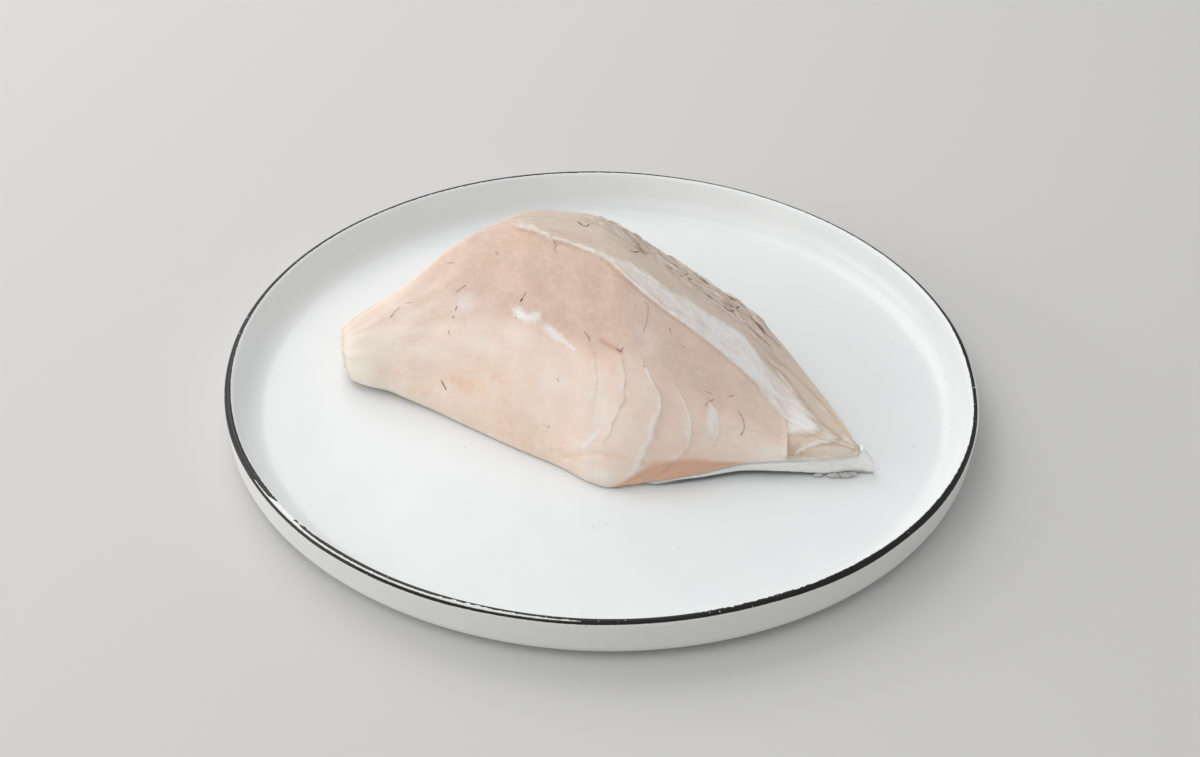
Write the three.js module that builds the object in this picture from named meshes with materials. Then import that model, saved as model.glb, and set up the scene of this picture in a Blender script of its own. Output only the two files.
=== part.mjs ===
// A raw piece of grouper loin on a low white plate with a black rim line.
// Millimetres, +Z up. The origin is the centre of the plate's foot, on the table.
// +X runs to the loin's pointed tip, -Y faces whoever sits at the plate.
import * as THREE from "three";

// Driving dimensions of the plate
const PLATE_RADIUS = 140;
const PLATE_HEIGHT = 18;
const LIP_RADIUS = 1.7; // half the thickness of the rounded lip
const FLOOR_Z = 4.6; // upper face of the plate's floor
const RECESS_Z = 1.0; // underside inside the foot ring
const FOOT_INNER = 113;
const FOOT_OUTER = 123;
const WALL_FILLET = 4.9; // outside, where the wall turns under
const WALL_FILLET_Z = 7.2; // height of that fillet's centre
const WALL_DRAFT = 0.6; // the wall stands this far in at its foot, outside
const WELL_FILLET = 10; // inside, where the floor turns up
const WELL_DRAFT = 1; // and inside
const PLATE_SEGMENTS = 76;

// Driving dimensions of the loin
const NOSE_X = -99; // blunt end
const TIP_X = 93.3; // pointed end of the flesh
const LAYER_START_X = -78; // the white layer under the flesh starts here
const LAYER_PEAK_X = 94.6; // the layer stands highest just past the flesh
const LAYER_TIP_X = 98.8; // and ends here, cut off blunt
const REST_GAP = 0.3; // between solids that lie on one another
const NOSE_ROUND = 4.5; // length over which the blunt end rounds off
const NOSE_SHARE = 0.82; // size of the flat of the blunt end, as a share of the section
const NOSE_LEAN = 0.4; // how far the blunt end's foot stands back from its top
const LOBE_TOP = 0.38; // the lower lobe of the blunt end reaches this share of the face
const LOBE_BACK = 0.4; // and stands this far back from the upper one
const UNDERSIDE_INSET = 1.2; // the flesh's edge is this wide before its underside steps up
const TUCK = 2.6; // how far the white layer hides under the flesh where it doesn't show
const STEP_WIDTH = 0.5; // width of a step between two flakes, seen from above
const FLAKE_RUN = 7; // length over which the next flake rises again
const NEST_DROP = 0.9; // how far the layers beside the pointed end lie under the muscle
const TERRACE = 0.35; // height of each of those nested layers
const NEST_SKEW = 24; // a nested layer ends this much nearer the muscle at the foot of the face
const LIP_STEP = 0.6; // how far the strip starts under the front muscle's lip
const RELIEF_FORWARD = 0.45; // relief moves the face this much forward
const RELIEF_UP = 0.9; // and this much up, for each millimetre
const LEAST_SHARE = 0.45; // relief leaves at least this share of the height over the front edge
const FACE_FOOT = 0.02; // the face leaves its foot almost upright
const FACE_HEAD = [0.42, 0.82]; // and nears the ridge from this share of its depth and rise

const FLESH_STATIONS = 58;
const LAYER_STATIONS = 44;
// Points of a flesh section on its front face, strip, back and underside
const SIDE_POINTS = [18, 8, 7, 8];
const FLESH_AROUND = SIDE_POINTS.reduce((sum, count) => sum + count, 0);
// Where the points of the white layer lie between its front and back edge
const LAYER_SHARES = [0, 0.1, 0.2, 0.34, 0.55, 0.8, 1];
const LAYER_AROUND = 2 * LAYER_SHARES.length;

// A smooth curve through [x, value] points that never overshoots them.
function through(points) {
  const gap = points.slice(1).map((p, i) => p[0] - points[i][0]);
  const rise = points.slice(1).map((p, i) => (p[1] - points[i][1]) / gap[i]);
  const slope = points.map((p, i) => {
    if (i === 0) return rise[0];
    if (i === gap.length) return rise[gap.length - 1];
    if (rise[i - 1] * rise[i] <= 0) return 0;
    const a = 2 * gap[i] + gap[i - 1];
    const b = gap[i] + 2 * gap[i - 1];
    return (a + b) / (a / rise[i - 1] + b / rise[i]);
  });
  return (x) => {
    const last = points.length - 1;
    const at = Math.min(Math.max(x, points[0][0]), points[last][0]);
    let i = 0;
    while (i < gap.length - 1 && at > points[i + 1][0]) i += 1;
    const t = (at - points[i][0]) / gap[i];
    return (
      (2 * t ** 3 - 3 * t ** 2 + 1) * points[i][1] +
      (t ** 3 - 2 * t ** 2 + t) * gap[i] * slope[i] +
      (3 * t ** 2 - 2 * t ** 3) * points[i + 1][1] +
      (t ** 3 - t ** 2) * gap[i] * slope[i + 1]
    );
  };
}

const smooth = (from, to, x) => THREE.MathUtils.smoothstep(x, from, to);
const mix = THREE.MathUtils.lerp;

// Guide lines of the loin, each against x: the front edge, the ridge where the front face
// meets the back strip of muscle, the shoulder behind the strip, and the lift off the plate.
const frontY = through([
  [-98, 8.5], [-95, 2.6], [-88, -1.3], [-80, -3.7], [-74, -6.9], [-64, -12.5], [-48, -23],
  [-29, -35.5], [-14, -44.7], [-3, -53], [3, -55], [14, -53.6], [36, -49], [52, -45.3],
  [66.5, -44.9], [79, -44.4], [92, -41.8], [99, -41.5],
]);
const ridgeY = through([
  [-98, 14], [-90, 17], [-73, 26], [-63, 35], [-52, 42], [-40, 47], [-28, 42.5], [-8, 32],
  [2, 26], [13, 15.5], [31, 1], [51, -11], [68, -26.5], [80, -35], [88, -37.5], [93.3, -40],
]);
const ridgeZ = through([
  [-98, 21.3], [-95, 24.2], [-84, 30.6], [-73, 36.8], [-52, 46.5], [-40, 49], [-28, 50.5],
  [2, 48.5], [13, 45], [31, 37], [51, 26], [68, 15.8], [80, 14.6], [88, 13.9], [93.3, 13.3],
]);
const shoulderY = through([
  [-98, 20], [-90, 23], [-73, 32], [-52, 47], [-38, 54], [-25, 56.5], [-10, 55.5], [1.5, 53],
  [9, 50], [25, 43], [40, 35.8], [48, 32], [55.4, 28], [59, 26], [63, 20.8], [70.3, 11.2],
  [77.4, -1.3], [84.2, -15], [90.6, -31], [93.3, -37.3], [99, -41],
]);
const shoulderZ = through([
  [-98, 20.5], [-90, 24], [-73, 31], [-52, 41], [-40, 46], [-34, 50], [-25, 50.8], [-2, 50.2],
  [5, 48], [17, 43.2], [25, 40], [40, 33.5], [48, 30], [59, 25.4], [63, 23], [70.3, 19.2],
  [77.4, 16.6], [84.2, 15], [90.6, 14], [93.3, 13.2],
]);
const edgeLift = through([
  [-98, 2.2], [-88, 1.9], [-80, 1.7], [-73, 1.2], [-65, 0.7], [-57, 0.35], [-48, 0.15], [-38, 0],
  [12, 0], [18, 0.5], [25, 0.8], [36, 1], [45, 1.2], [52, 1.5], [60, 1.5], [67, 1.1], [80, 0.3],
  [87, 0.1], [99, 0.1],
]);
const frontThickness = through([
  [-78, 0.9], [12, 1.1], [22, 0.9], [36, 1.6], [43, 2.3], [52, 3.3], [67, 5.1], [79, 6.5], [92, 7.1],
  [93.3, 7.4], [LAYER_PEAK_X, 9.2], [96.5, 7.2], [98, 5.4], [LAYER_TIP_X, 4.2],
]);
const backThickness = through([
  [-78, 0.9], [60, 1.4], [80, 2.5], [90, 6], [93.3, 7.4], [LAYER_PEAK_X, 9.2], [96.5, 7.2], [98, 5.4],
  [LAYER_TIP_X, 4.2],
]);
// How far the white layer's cut edge stands out in front of the flesh
const layerProud = through([[20, 0.4], [75, 0.4], [87, 1.4], [99, 1.3]]);
// How far that cut edge leans back at its top
const layerLean = through([[70, 0], [86, 2.4], [94, 2.4], [99, 1.8]]);
// How steeply the front face leaves its lower edge, as a share of the face's rise
const edgeWall = through([[-98, 0.5], [-60, 0.35], [-3, 0.3], [12, 0.42], [32, 0.5], [94, 0.5]]);

// The flakes of the front muscle overlap like shingles, in bows that point to the right.
// A cross-section follows those bows: its front face is carried this far to the right.
const flakeBow = through([
  [-99, 0], [-60, 2], [-30, 10], [-18, 15], [-7, 15.5], [5, 16.2], [15.5, 16.8], [31, 12], [45, 8],
  [60, 3], [67, 0],
]);
const bowShape = (q) => Math.sin(Math.PI * q ** 0.8);
// Where each flake ends, between which shares of the face its edge shows, and how high it stands
const FLAKES = [
  { station: -18, from: 0.46, to: 0.67, height: 0.4 },
  { station: -7, from: 0.3, to: 0.72, height: 0.6 },
  { station: 5, from: 0.03, to: 0.72, height: 1.1 },
  { station: 15.5, from: 0.08, to: 0.68, height: 0.8 },
  { station: 31, from: 0.24, to: 0.64, height: 0.6 },
];
const MUSCLE_END_X = 67.4; // the front muscle stops here, straight across
const TERRACE_ENDS = [79, 85.5]; // nested layers end here in points, at the ridge
const STRIP_START_X = -37; // the back strip starts here

// Where the flesh is wrapped down over the white layer: 1 fully, and 0 where the layer shows.
// The layer comes out from under it only where the flesh has left the plate.
const wrapFront = (x) => 1 - smooth(0, 14, x);
const wrapBack = (x) => 1 - smooth(66, 82, x);
const tuckFront = (x) => 1 - smooth(13, 21, x);
const tuckBack = (x) => 1 - smooth(81, 90, x);
const backY = (x) => shoulderY(x) + 1.5 * (1 - smooth(80, 93, x));
const lowestZ = (x) => FLOOR_Z + REST_GAP + edgeLift(x);

// The white layer's lower face is lifted at the front edge and lies flat further in.
function layerBottom(x, y) {
  const inward = x > -60 ? 1 - smooth(4, 34, y - frontY(x)) : 1;
  return FLOOR_Z + REST_GAP + edgeLift(x) * inward;
}

function layerTop(x, y) {
  const inward = smooth(2, 22, y - frontY(x));
  return layerBottom(x, y) + mix(frontThickness(x), backThickness(x), inward);
}

// Relief of the front face at share q of its rise: each flake stands a step above the next,
// and past the end of the muscle the nested layers lie lower.
function faceRelief(station, x, q) {
  let relief = 0;
  for (const flake of FLAKES) {
    const past = station - flake.station - STEP_WIDTH;
    const shown = smooth(flake.from - 0.06, flake.from + 0.04, q) * (1 - smooth(flake.to - 0.08, flake.to, q));
    if (past > -0.01) relief -= flake.height * shown * Math.exp(-past / FLAKE_RUN);
  }
  const nested = smooth(MUSCLE_END_X, MUSCLE_END_X + 1, x) * (1 - smooth(88, 93, x));
  return relief - nested * (NEST_DROP - terraces(x + NEST_SKEW * (1 - q)));
}

// The nested layers step down towards the pointed end.
function terraces(x) {
  return TERRACE_ENDS.reduce((sum, end) => sum + TERRACE * (1 - smooth(end - 1.5, end + 1.5, x)), 0);
}

// Relief of the strip: it is crowned, and lies a little below the front muscle's lip.
function stripRelief(x, share) {
  const crown = 1.6 * Math.sin(Math.PI * share) * (1 - smooth(60, 92, x));
  const lip = LIP_STEP * Math.exp(-share * 6) * smooth(STRIP_START_X, STRIP_START_X + 8, x);
  return crown - lip * (1 - smooth(60, 90, x));
}

// A point [y, z] of the flesh's section. side is 0 to 3 as in SIDE_POINTS, t runs 0 to 1 along it.
function fleshPoint(station, x, side, t) {
  const front = frontY(x);
  const back = backY(x);
  const frontLow = mix(layerTop(x, front) + REST_GAP, lowestZ(x), wrapFront(x));
  const backLow = mix(layerTop(x, back) + REST_GAP, layerBottom(x, back), wrapBack(x));
  const ridge = [ridgeY(x), ridgeZ(x)];
  const shoulder = [shoulderY(x), shoulderZ(x)];
  if (side === 0) {
    const across = ridge[0] - front;
    const rise = ridge[1] - frontLow;
    const y = cubic(front, front + FACE_FOOT * across, front + FACE_HEAD[0] * across, ridge[0], t);
    const z = cubic(frontLow, frontLow + edgeWall(x) * rise, frontLow + FACE_HEAD[1] * rise, ridge[1], t);
    const relief = faceRelief(station, x, t) * smooth(0, 0.1, t);
    const least = mix(frontLow, z, LEAST_SHARE);
    return [y - relief * RELIEF_FORWARD, Math.max(z + relief * RELIEF_UP, least)];
  }
  if (side === 1) {
    return [mix(ridge[0], shoulder[0], t), mix(ridge[1], shoulder[1], t) + stripRelief(x, t)];
  }
  if (side === 2) {
    const out = shoulder[0] + 4 * (1 - smooth(60, 90, x));
    const half = mix(backLow, shoulder[1], 0.45);
    return [quadratic(shoulder[0], out, back, t), quadratic(shoulder[1], half, backLow, t)];
  }
  if (t === 0) return [back, backLow];
  const inner = LAYER_SHARES.slice(1, -1).map((share) => mix(back, front, 1 - share));
  const inset = Math.min(UNDERSIDE_INSET, 0.06 * (back - front));
  const line = [front + inset, ...inner, back - inset].reverse();
  const y = line[Math.round(t * SIDE_POINTS[3]) - 1];
  return [y, layerTop(x, y) + REST_GAP];
}

function cubic(a, b, c, d, t) {
  const s = 1 - t;
  return s ** 3 * a + 3 * s * s * t * b + 3 * s * t * t * c + t ** 3 * d;
}

function quadratic(a, b, c, t) {
  return (1 - t) ** 2 * a + 2 * t * (1 - t) * b + t * t * c;
}

// The side that a point of the section is on, and how far along that side it is
function sideOf(place) {
  let side = 0;
  let left = place;
  while (left >= SIDE_POINTS[side]) {
    left -= SIDE_POINTS[side];
    side += 1;
  }
  return [side, left / SIDE_POINTS[side]];
}

// How far a point stands back at the blunt end, whose lower lobe is shorter than the upper one.
function lobeBack(side, t, past) {
  const lower = side === 0 ? 1 - smooth(LOBE_TOP - 0.04, LOBE_TOP + 0.04, t) : side === 3;
  return LOBE_BACK * lower * (1 - smooth(0, 9, past));
}

// A point [x, y, z] of the flesh: the section's point, drawn in towards its middle at the
// blunt end, whose foot stands back a little.
function fleshShape(station, place) {
  const [side, t] = sideOf(place);
  const x = side === 0 ? station + flakeBow(station) * bowShape(t) : station;
  const [y, z] = fleshPoint(station, x, side, t);
  const past = station - NOSE_X;
  const round = past < NOSE_ROUND ? mix(NOSE_SHARE, 1, Math.sqrt(1 - (1 - past / NOSE_ROUND) ** 2)) : 1;
  const middle = [(frontY(x) + backY(x)) / 2, (ridgeZ(x) + lowestZ(x)) / 2];
  const height = (z - lowestZ(x)) / (ridgeZ(x) - lowestZ(x));
  const lean = NOSE_LEAN * (1 - height) * (1 - smooth(0, 14, past));
  return [x + lean + lobeBack(side, t, past), mix(middle[0], y, round), mix(middle[1], z, round)];
}

// Stations at even shares of the length, moved by spread, with a few fixed ones among them
function stationsFrom(start, end, count, spread, fixed) {
  const even = Array.from({ length: count }, (_, i) => {
    const v = i / (count - 1);
    return mix(start, end, v - spread * Math.sin(2 * Math.PI * v));
  });
  const free = even.filter((x) => fixed.every((other) => Math.abs(x - other) > 0.9));
  return [...free, ...fixed].sort((a, b) => a - b);
}

// Sections of the flesh are closer at its ends, with two more at each step.
function fleshStations() {
  const steps = [...FLAKES.map((flake) => flake.station), MUSCLE_END_X, STRIP_START_X];
  const pairs = steps.flatMap((x) => [x, x + STEP_WIDTH]);
  return stationsFrom(NOSE_X, TIP_X, FLESH_STATIONS, 0.07, pairs);
}

// The white layer's section: up its front edge, back over its upper face, down its back edge
// and forward again underneath.
function layerShape(x, place) {
  const open = 0.35 + 0.65 * smooth(LAYER_START_X - 1, LAYER_START_X + 12, x);
  const front = frontY(x) + mix(-layerProud(x), TUCK, tuckFront(x));
  const back = backY(x) + mix(0.8, -TUCK, tuckBack(x));
  const upper = place > 0 && place <= LAYER_SHARES.length;
  const share = LAYER_SHARES[upper ? place - 1 : (LAYER_AROUND - place) % LAYER_AROUND];
  const line = share > 0 && share < 1 ? mix(frontY(x), backY(x), share) : mix(front, back, share);
  const lean = upper ? layerLean(x) * (back - line) / (back - front) : 0;
  const y = mix((front + back) / 2, line + lean, open);
  return [x, y, upper ? layerTop(x, y) : layerBottom(x, y)];
}

// Turns a sphere into a body with sections: one ring of points at each station, shaped by
// shape(station, place in the ring), and a pole in the middle of each end.
function lofted(stations, around, shape) {
  const rings = stations.length;
  const geometry = new THREE.SphereGeometry(1, around, rings + 1);
  const position = geometry.attributes.position;
  for (let i = 0; i < position.count; i += 1) {
    const row = Math.floor(i / (around + 1));
    const station = stations[THREE.MathUtils.clamp(row - 1, 0, rings - 1)];
    const pole = row === 0 || row === rings + 1;
    const place = (i % (around + 1)) % around;
    const point = pole ? middleOf(station, around, shape) : shape(station, place);
    position.setXYZ(i, ...point);
  }
  geometry.deleteAttribute("normal");
  geometry.deleteAttribute("uv");
  return geometry;
}

function middleOf(station, around, shape) {
  const sum = new THREE.Vector3();
  for (let k = 0; k < around; k += 1) sum.add(new THREE.Vector3(...shape(station, k)));
  return sum.divideScalar(around).toArray();
}

function ceramic() {
  return new THREE.MeshStandardMaterial({ color: 0xeceeec, roughness: 0.25, metalness: 0 });
}

function rawFish() {
  return new THREE.MeshStandardMaterial({ color: 0xdcc3ad, roughness: 0.4, metalness: 0 });
}

function connectiveTissue() {
  return new THREE.MeshStandardMaterial({ color: 0xe6e7e5, roughness: 0.45, metalness: 0 });
}

// Points of an arc in the plate's profile, from one angle to another in degrees.
function arc(radius, height, size, from, to, steps) {
  return Array.from({ length: steps + 1 }, (_, i) => {
    const angle = THREE.MathUtils.degToRad(mix(from, to, i / steps));
    return new THREE.Vector2(radius + size * Math.cos(angle), height + size * Math.sin(angle));
  });
}

function plateProfile() {
  const lipZ = PLATE_HEIGHT - LIP_RADIUS;
  const wallRadius = PLATE_RADIUS - WALL_DRAFT - WALL_FILLET;
  const wellRadius = PLATE_RADIUS - 2 * LIP_RADIUS - WELL_DRAFT - WELL_FILLET;
  return [
    new THREE.Vector2(0, RECESS_Z),
    new THREE.Vector2(FOOT_INNER - 1, RECESS_Z),
    new THREE.Vector2(FOOT_INNER, 0),
    new THREE.Vector2(FOOT_OUTER, 0),
    new THREE.Vector2(FOOT_OUTER + 2.5, 0.7),
    ...arc(wallRadius, WALL_FILLET_Z, WALL_FILLET, -80, 0, 5),
    ...arc(PLATE_RADIUS - LIP_RADIUS, lipZ, LIP_RADIUS, 0, 180, 6),
    ...arc(wellRadius, FLOOR_Z + WELL_FILLET, WELL_FILLET, -6, -90, 6),
    new THREE.Vector2(0, FLOOR_Z),
  ];
}

function plate() {
  const body = new THREE.Mesh(new THREE.LatheGeometry(plateProfile(), PLATE_SEGMENTS), ceramic());
  body.name = "plate";
  body.rotation.x = Math.PI / 2;
  return body;
}

function loinFlesh() {
  const flesh = new THREE.Mesh(lofted(fleshStations(), FLESH_AROUND, fleshShape), rawFish());
  flesh.name = "loin_flesh";
  return flesh;
}

function whiteLayer() {
  const stations = stationsFrom(LAYER_START_X, LAYER_TIP_X, LAYER_STATIONS, 0, [TIP_X, LAYER_PEAK_X]);
  const layer = new THREE.Mesh(lofted(stations, LAYER_AROUND, layerShape), connectiveTissue());
  layer.name = "white_underlayer";
  return layer;
}

const plateOfLoin = new THREE.Group();
plateOfLoin.add(plate(), loinFlesh(), whiteLayer());

export default plateOfLoin;
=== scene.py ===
# %% [markdown]
# # A piece of raw grouper loin on a low stoneware plate
# The real object is two things: a wheel-thrown plate with a white glaze and a black line brushed
# along its lip, and a thick piece of raw fish that lies on it. The fish is muscle, built of bowed
# flakes with thin white tissue between them, over a white layer that shows at the pointed end.
# The imported model fixes every size and place. This file only dresses it, so the first step loads
# that model and notes its box. The plate, the flesh and the white layer made below each replace one
# solid of it, and loose shreds and cut vessels are added to them.

# %% The imported model
import math

import bmesh
import bpy
import numpy as np
from mathutils import Matrix, Vector


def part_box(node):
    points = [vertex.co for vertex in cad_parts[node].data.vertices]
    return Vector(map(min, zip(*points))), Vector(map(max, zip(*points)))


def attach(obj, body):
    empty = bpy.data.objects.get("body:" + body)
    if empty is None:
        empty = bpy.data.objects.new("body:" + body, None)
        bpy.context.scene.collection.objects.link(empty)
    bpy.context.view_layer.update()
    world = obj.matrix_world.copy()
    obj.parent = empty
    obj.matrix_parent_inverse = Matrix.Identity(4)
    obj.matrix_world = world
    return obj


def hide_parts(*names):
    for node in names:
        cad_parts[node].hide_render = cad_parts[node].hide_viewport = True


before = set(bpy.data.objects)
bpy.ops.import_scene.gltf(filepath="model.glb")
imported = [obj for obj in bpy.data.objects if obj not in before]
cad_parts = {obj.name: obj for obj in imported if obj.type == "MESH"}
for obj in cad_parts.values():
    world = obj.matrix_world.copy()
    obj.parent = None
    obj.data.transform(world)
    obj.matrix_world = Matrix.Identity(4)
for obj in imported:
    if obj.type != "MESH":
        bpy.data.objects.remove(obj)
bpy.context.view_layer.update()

MM = 0.001
plate_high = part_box("plate")[1]

# %% [markdown]
# ## Colours and nodes
# Blender works with linear light, and a colour picked on a screen is written in sRGB, so one
# function turns a hex value into linear numbers. Materials are node trees. Adding a node, setting
# it and linking it takes three calls each time, so one function does all three.

# %% Helpers for colours and nodes


def to_linear(hex_colour):
    """An sRGB colour written as #rrggbb, as linear red, green, blue and alpha."""
    parts = [int(hex_colour[i:i + 2], 16) / 255 for i in (1, 3, 5)]
    return [c / 12.92 if c <= 0.04045 else ((c + 0.055) / 1.055) ** 2.4 for c in parts] + [1]


def add(tree, kind, sockets=None, **settings):
    """Adds a node. Settings are its properties; sockets are values, or outputs to link to."""
    made = tree.nodes.new(kind)
    for name, value in settings.items():
        setattr(made, name, value)
    for socket, value in (sockets or {}).items():
        if isinstance(value, bpy.types.NodeSocket):
            tree.links.new(value, made.inputs[socket])
        else:
            made.inputs[socket].default_value = value
    return made


def new_material(name):
    """An empty material with its output, ready for a shader."""
    material = bpy.data.materials.new(name)
    material.use_nodes = True
    material.node_tree.nodes.clear()
    return material, material.node_tree


# Inputs of the Mix node when it mixes colours, which have no names of their own
SHARE, FIRST, SECOND, MIXED = 0, 6, 7, 2

# %% [markdown]
# ## Camera
# The picture is taken from the front, looking down at the plate at a little over 37 degrees with a
# 70 mm lens. The camera stands on a line from the plate's centre, is then turned so that the
# centre falls on its own place in the frame, and rolls by just over one degree.

# %% Camera
IMAGE_WIDTH, IMAGE_HEIGHT = 1200, 757
PLATE_CENTRE_PIXEL = (602.18, 405.74)
LENS_MM, SENSOR_MM = 70, 36
CAMERA_DISTANCE = 0.8821
CAMERA_ELEVATION = math.radians(37.44)
CAMERA_ROLL = math.radians(1.43)

focal_pixels = LENS_MM / SENSOR_MM * IMAGE_WIDTH
back = Vector((0, -math.cos(CAMERA_ELEVATION), math.sin(CAMERA_ELEVATION)))
camera_place = back * CAMERA_DISTANCE
right = Vector((1, 0, 0))
up = back.cross(right)
aim_across = math.atan2(PLATE_CENTRE_PIXEL[0] - IMAGE_WIDTH / 2, focal_pixels)
aim_down = math.atan2(PLATE_CENTRE_PIXEL[1] - IMAGE_HEIGHT / 2, focal_pixels)
back, right = (back * math.cos(aim_across) + right * math.sin(aim_across),
               right * math.cos(aim_across) - back * math.sin(aim_across))
back, up = (back * math.cos(aim_down) - up * math.sin(aim_down),
            up * math.cos(aim_down) + back * math.sin(aim_down))
right, up = (right * math.cos(CAMERA_ROLL) + up * math.sin(CAMERA_ROLL),
             up * math.cos(CAMERA_ROLL) - right * math.sin(CAMERA_ROLL))

lens = bpy.data.cameras.new("camera")
lens.lens = LENS_MM
lens.sensor_width = SENSOR_MM
lens.clip_start = 0.01
camera = bpy.data.objects.new("camera", lens)
camera.matrix_world = Matrix.Translation(camera_place) @ Matrix((right, up, back)).transposed().to_4x4()
bpy.context.scene.collection.objects.link(camera)
bpy.context.scene.camera = camera
print("camera at", [round(c, 3) for c in camera_place])

# %% [markdown]
# ## Light and floor
# The plate stands in a bright room, and about half of its light comes evenly from all round. The
# rest is a window behind it to the left, a low one on the left and a pale wall near the viewer's
# left hand. Large area lamps at a real distance do this better than one strong lamp, because raw
# fish and white glaze both show every hard shadow.

# %% Light and floor
LAMP_DISTANCE = 1.5
ROOM_LIGHT = 0.49
FLOOR_SIDE = 6
# Name, width and height in metres, azimuth and elevation in degrees, watts
SOFT_LAMPS = [
    ("back_window", 1.1, 1.1, 120, 45, 8.0),
    ("low_window", 1.4, 0.6, 180, 15, 7.0),
    ("near_wall", 1.1, 1.1, 225, 55, 3.9),
]

for name, width, height, azimuth, elevation, watts in SOFT_LAMPS:
    lamp = bpy.data.lights.new(name, "AREA")
    lamp.shape = "RECTANGLE"
    lamp.size = width
    lamp.size_y = height
    lamp.energy = watts
    lamp.color = to_linear("#fffdfb")[:3]
    flat, steep = math.radians(azimuth), math.radians(elevation)
    way = Vector((math.cos(flat) * math.cos(steep), math.sin(flat) * math.cos(steep), math.sin(steep)))
    stand = bpy.data.objects.new(name, lamp)
    stand.matrix_world = (Matrix.Translation(way * LAMP_DISTANCE)
                          @ way.to_track_quat("Z", "Y").to_matrix().to_4x4())
    bpy.context.scene.collection.objects.link(stand)
    print(name, watts, "W at", [round(c * LAMP_DISTANCE, 2) for c in way])

room = bpy.data.worlds.new("room")
room.use_nodes = True
room.node_tree.nodes.clear()
room_light = add(room.node_tree, "ShaderNodeBackground",
                 {"Color": to_linear("#fbfdff"), "Strength": ROOM_LIGHT})
add(room.node_tree, "ShaderNodeOutputWorld", {"Surface": room_light.outputs["Background"]})
bpy.context.scene.world = room
bpy.context.scene.view_settings.view_transform = "Standard"

floor_material, tree = new_material("matt_pale_floor")
floor_shader = add(tree, "ShaderNodeBsdfPrincipled", {"Base Color": to_linear("#dad9d7"), "Roughness": 0.85})
add(tree, "ShaderNodeOutputMaterial", {"Surface": floor_shader.outputs["BSDF"]})

bm = bmesh.new()
bmesh.ops.create_grid(bm, x_segments=4, y_segments=4, size=FLOOR_SIDE / 2)
floor_mesh = bpy.data.meshes.new("floor")
bm.to_mesh(floor_mesh)
bm.free()
floor_mesh.materials.append(floor_material)
floor = bpy.data.objects.new("floor", floor_mesh)
bpy.context.scene.collection.objects.link(floor)

# %% [markdown]
# ## Smooth curves and wandering values
# Nothing on a fish is straight, so its guide lines are smooth curves through a few measured
# points. They never overshoot a point, which keeps a section from crossing itself. The small
# unevenness of torn edges comes from a lattice of seeded random values, so it is the same each run.

# %% Curves and unevenness
LATTICE = 64


def mix(a, b, share):
    """The value a given share of the way from a to b."""
    return a + (b - a) * share


def smooth(start, end, x):
    """Rises gently from 0 at start to 1 at end."""
    t = np.clip((x - start) / (end - start), 0, 1)
    return t * t * (3 - 2 * t)


def through(points):
    """A smooth function of x through (x, value) points that never overshoots them."""
    xs, values = np.array(points, float).T
    gap = np.diff(xs)
    rise = np.diff(values) / gap
    slope = np.concatenate([rise[:1], np.zeros(len(xs) - 2), rise[-1:]])
    for i in range(1, len(gap)):
        if rise[i - 1] * rise[i] > 0:
            a = 2 * gap[i] + gap[i - 1]
            b = gap[i] + 2 * gap[i - 1]
            slope[i] = (a + b) / (a / rise[i - 1] + b / rise[i])

    def value(x):
        x = np.clip(x, xs[0], xs[-1])
        i = np.clip(np.searchsorted(xs, x, side="right") - 1, 0, len(gap) - 1)
        t = (x - xs[i]) / gap[i]
        return ((2 * t**3 - 3 * t**2 + 1) * values[i] + (t**3 - 2 * t**2 + t) * gap[i] * slope[i]
                + (3 * t**2 - 2 * t**3) * values[i + 1] + (t**3 - t**2) * gap[i] * slope[i + 1])
    return value


def wander(u, v, seed):
    """A smooth random value between -1 and 1 over the plane, with bumps about 1 wide."""
    lattice = np.random.default_rng(seed).uniform(-1, 1, (LATTICE, LATTICE))
    i, j = np.floor(u).astype(int), np.floor(v).astype(int)
    a, b = smooth(0, 1, u - i), smooth(0, 1, v - j)
    low = mix(lattice[i % LATTICE, j % LATTICE], lattice[(i + 1) % LATTICE, j % LATTICE], a)
    high = mix(lattice[i % LATTICE, (j + 1) % LATTICE], lattice[(i + 1) % LATTICE, (j + 1) % LATTICE], a)
    return mix(low, high, b)


# %% Helpers for meshes


def places(mesh):
    """Every vertex of a mesh as a row of three numbers."""
    flat = np.empty(len(mesh.vertices) * 3)
    mesh.vertices.foreach_get("co", flat)
    return flat.reshape(-1, 3)


def move_to(mesh, points):
    """Puts the vertices of a mesh where the rows of points say, in metres."""
    mesh.vertices.foreach_set("co", np.ascontiguousarray(points, float).ravel())
    mesh.update()


def paint(mesh, name, values):
    """Stores one number per vertex, which a material then reads by that name."""
    stored = mesh.attributes.new(name, "FLOAT", "POINT").data
    stored.foreach_set("value", np.asarray(values, float))


def paint_vector(mesh, name, rows):
    """Stores three numbers per vertex, which a material reads as a place for its patterns."""
    stored = mesh.attributes.new(name, "FLOAT_VECTOR", "POINT").data
    stored.foreach_set("vector", rows.astype(float).ravel())


def face_out(mesh):
    """Turns every face of a closed mesh outwards and shades it smoothly."""
    bm = bmesh.new()
    bm.from_mesh(mesh)
    bmesh.ops.recalc_face_normals(bm, faces=bm.faces)
    for face in bm.faces:
        face.smooth = True
    bm.to_mesh(mesh)
    bm.free()


def show(mesh, material, slot, *nodes):
    """Makes the object of a finished mesh, standing for CAD nodes and moving with the plate."""
    mesh.materials.append(material)
    piece = bpy.data.objects.new(mesh.name, mesh)
    bpy.context.scene.collection.objects.link(piece)
    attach(piece, "root")
    if nodes:
        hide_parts(*nodes)
    print(mesh.name, len(mesh.vertices), "vertices")
    return piece


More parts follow.
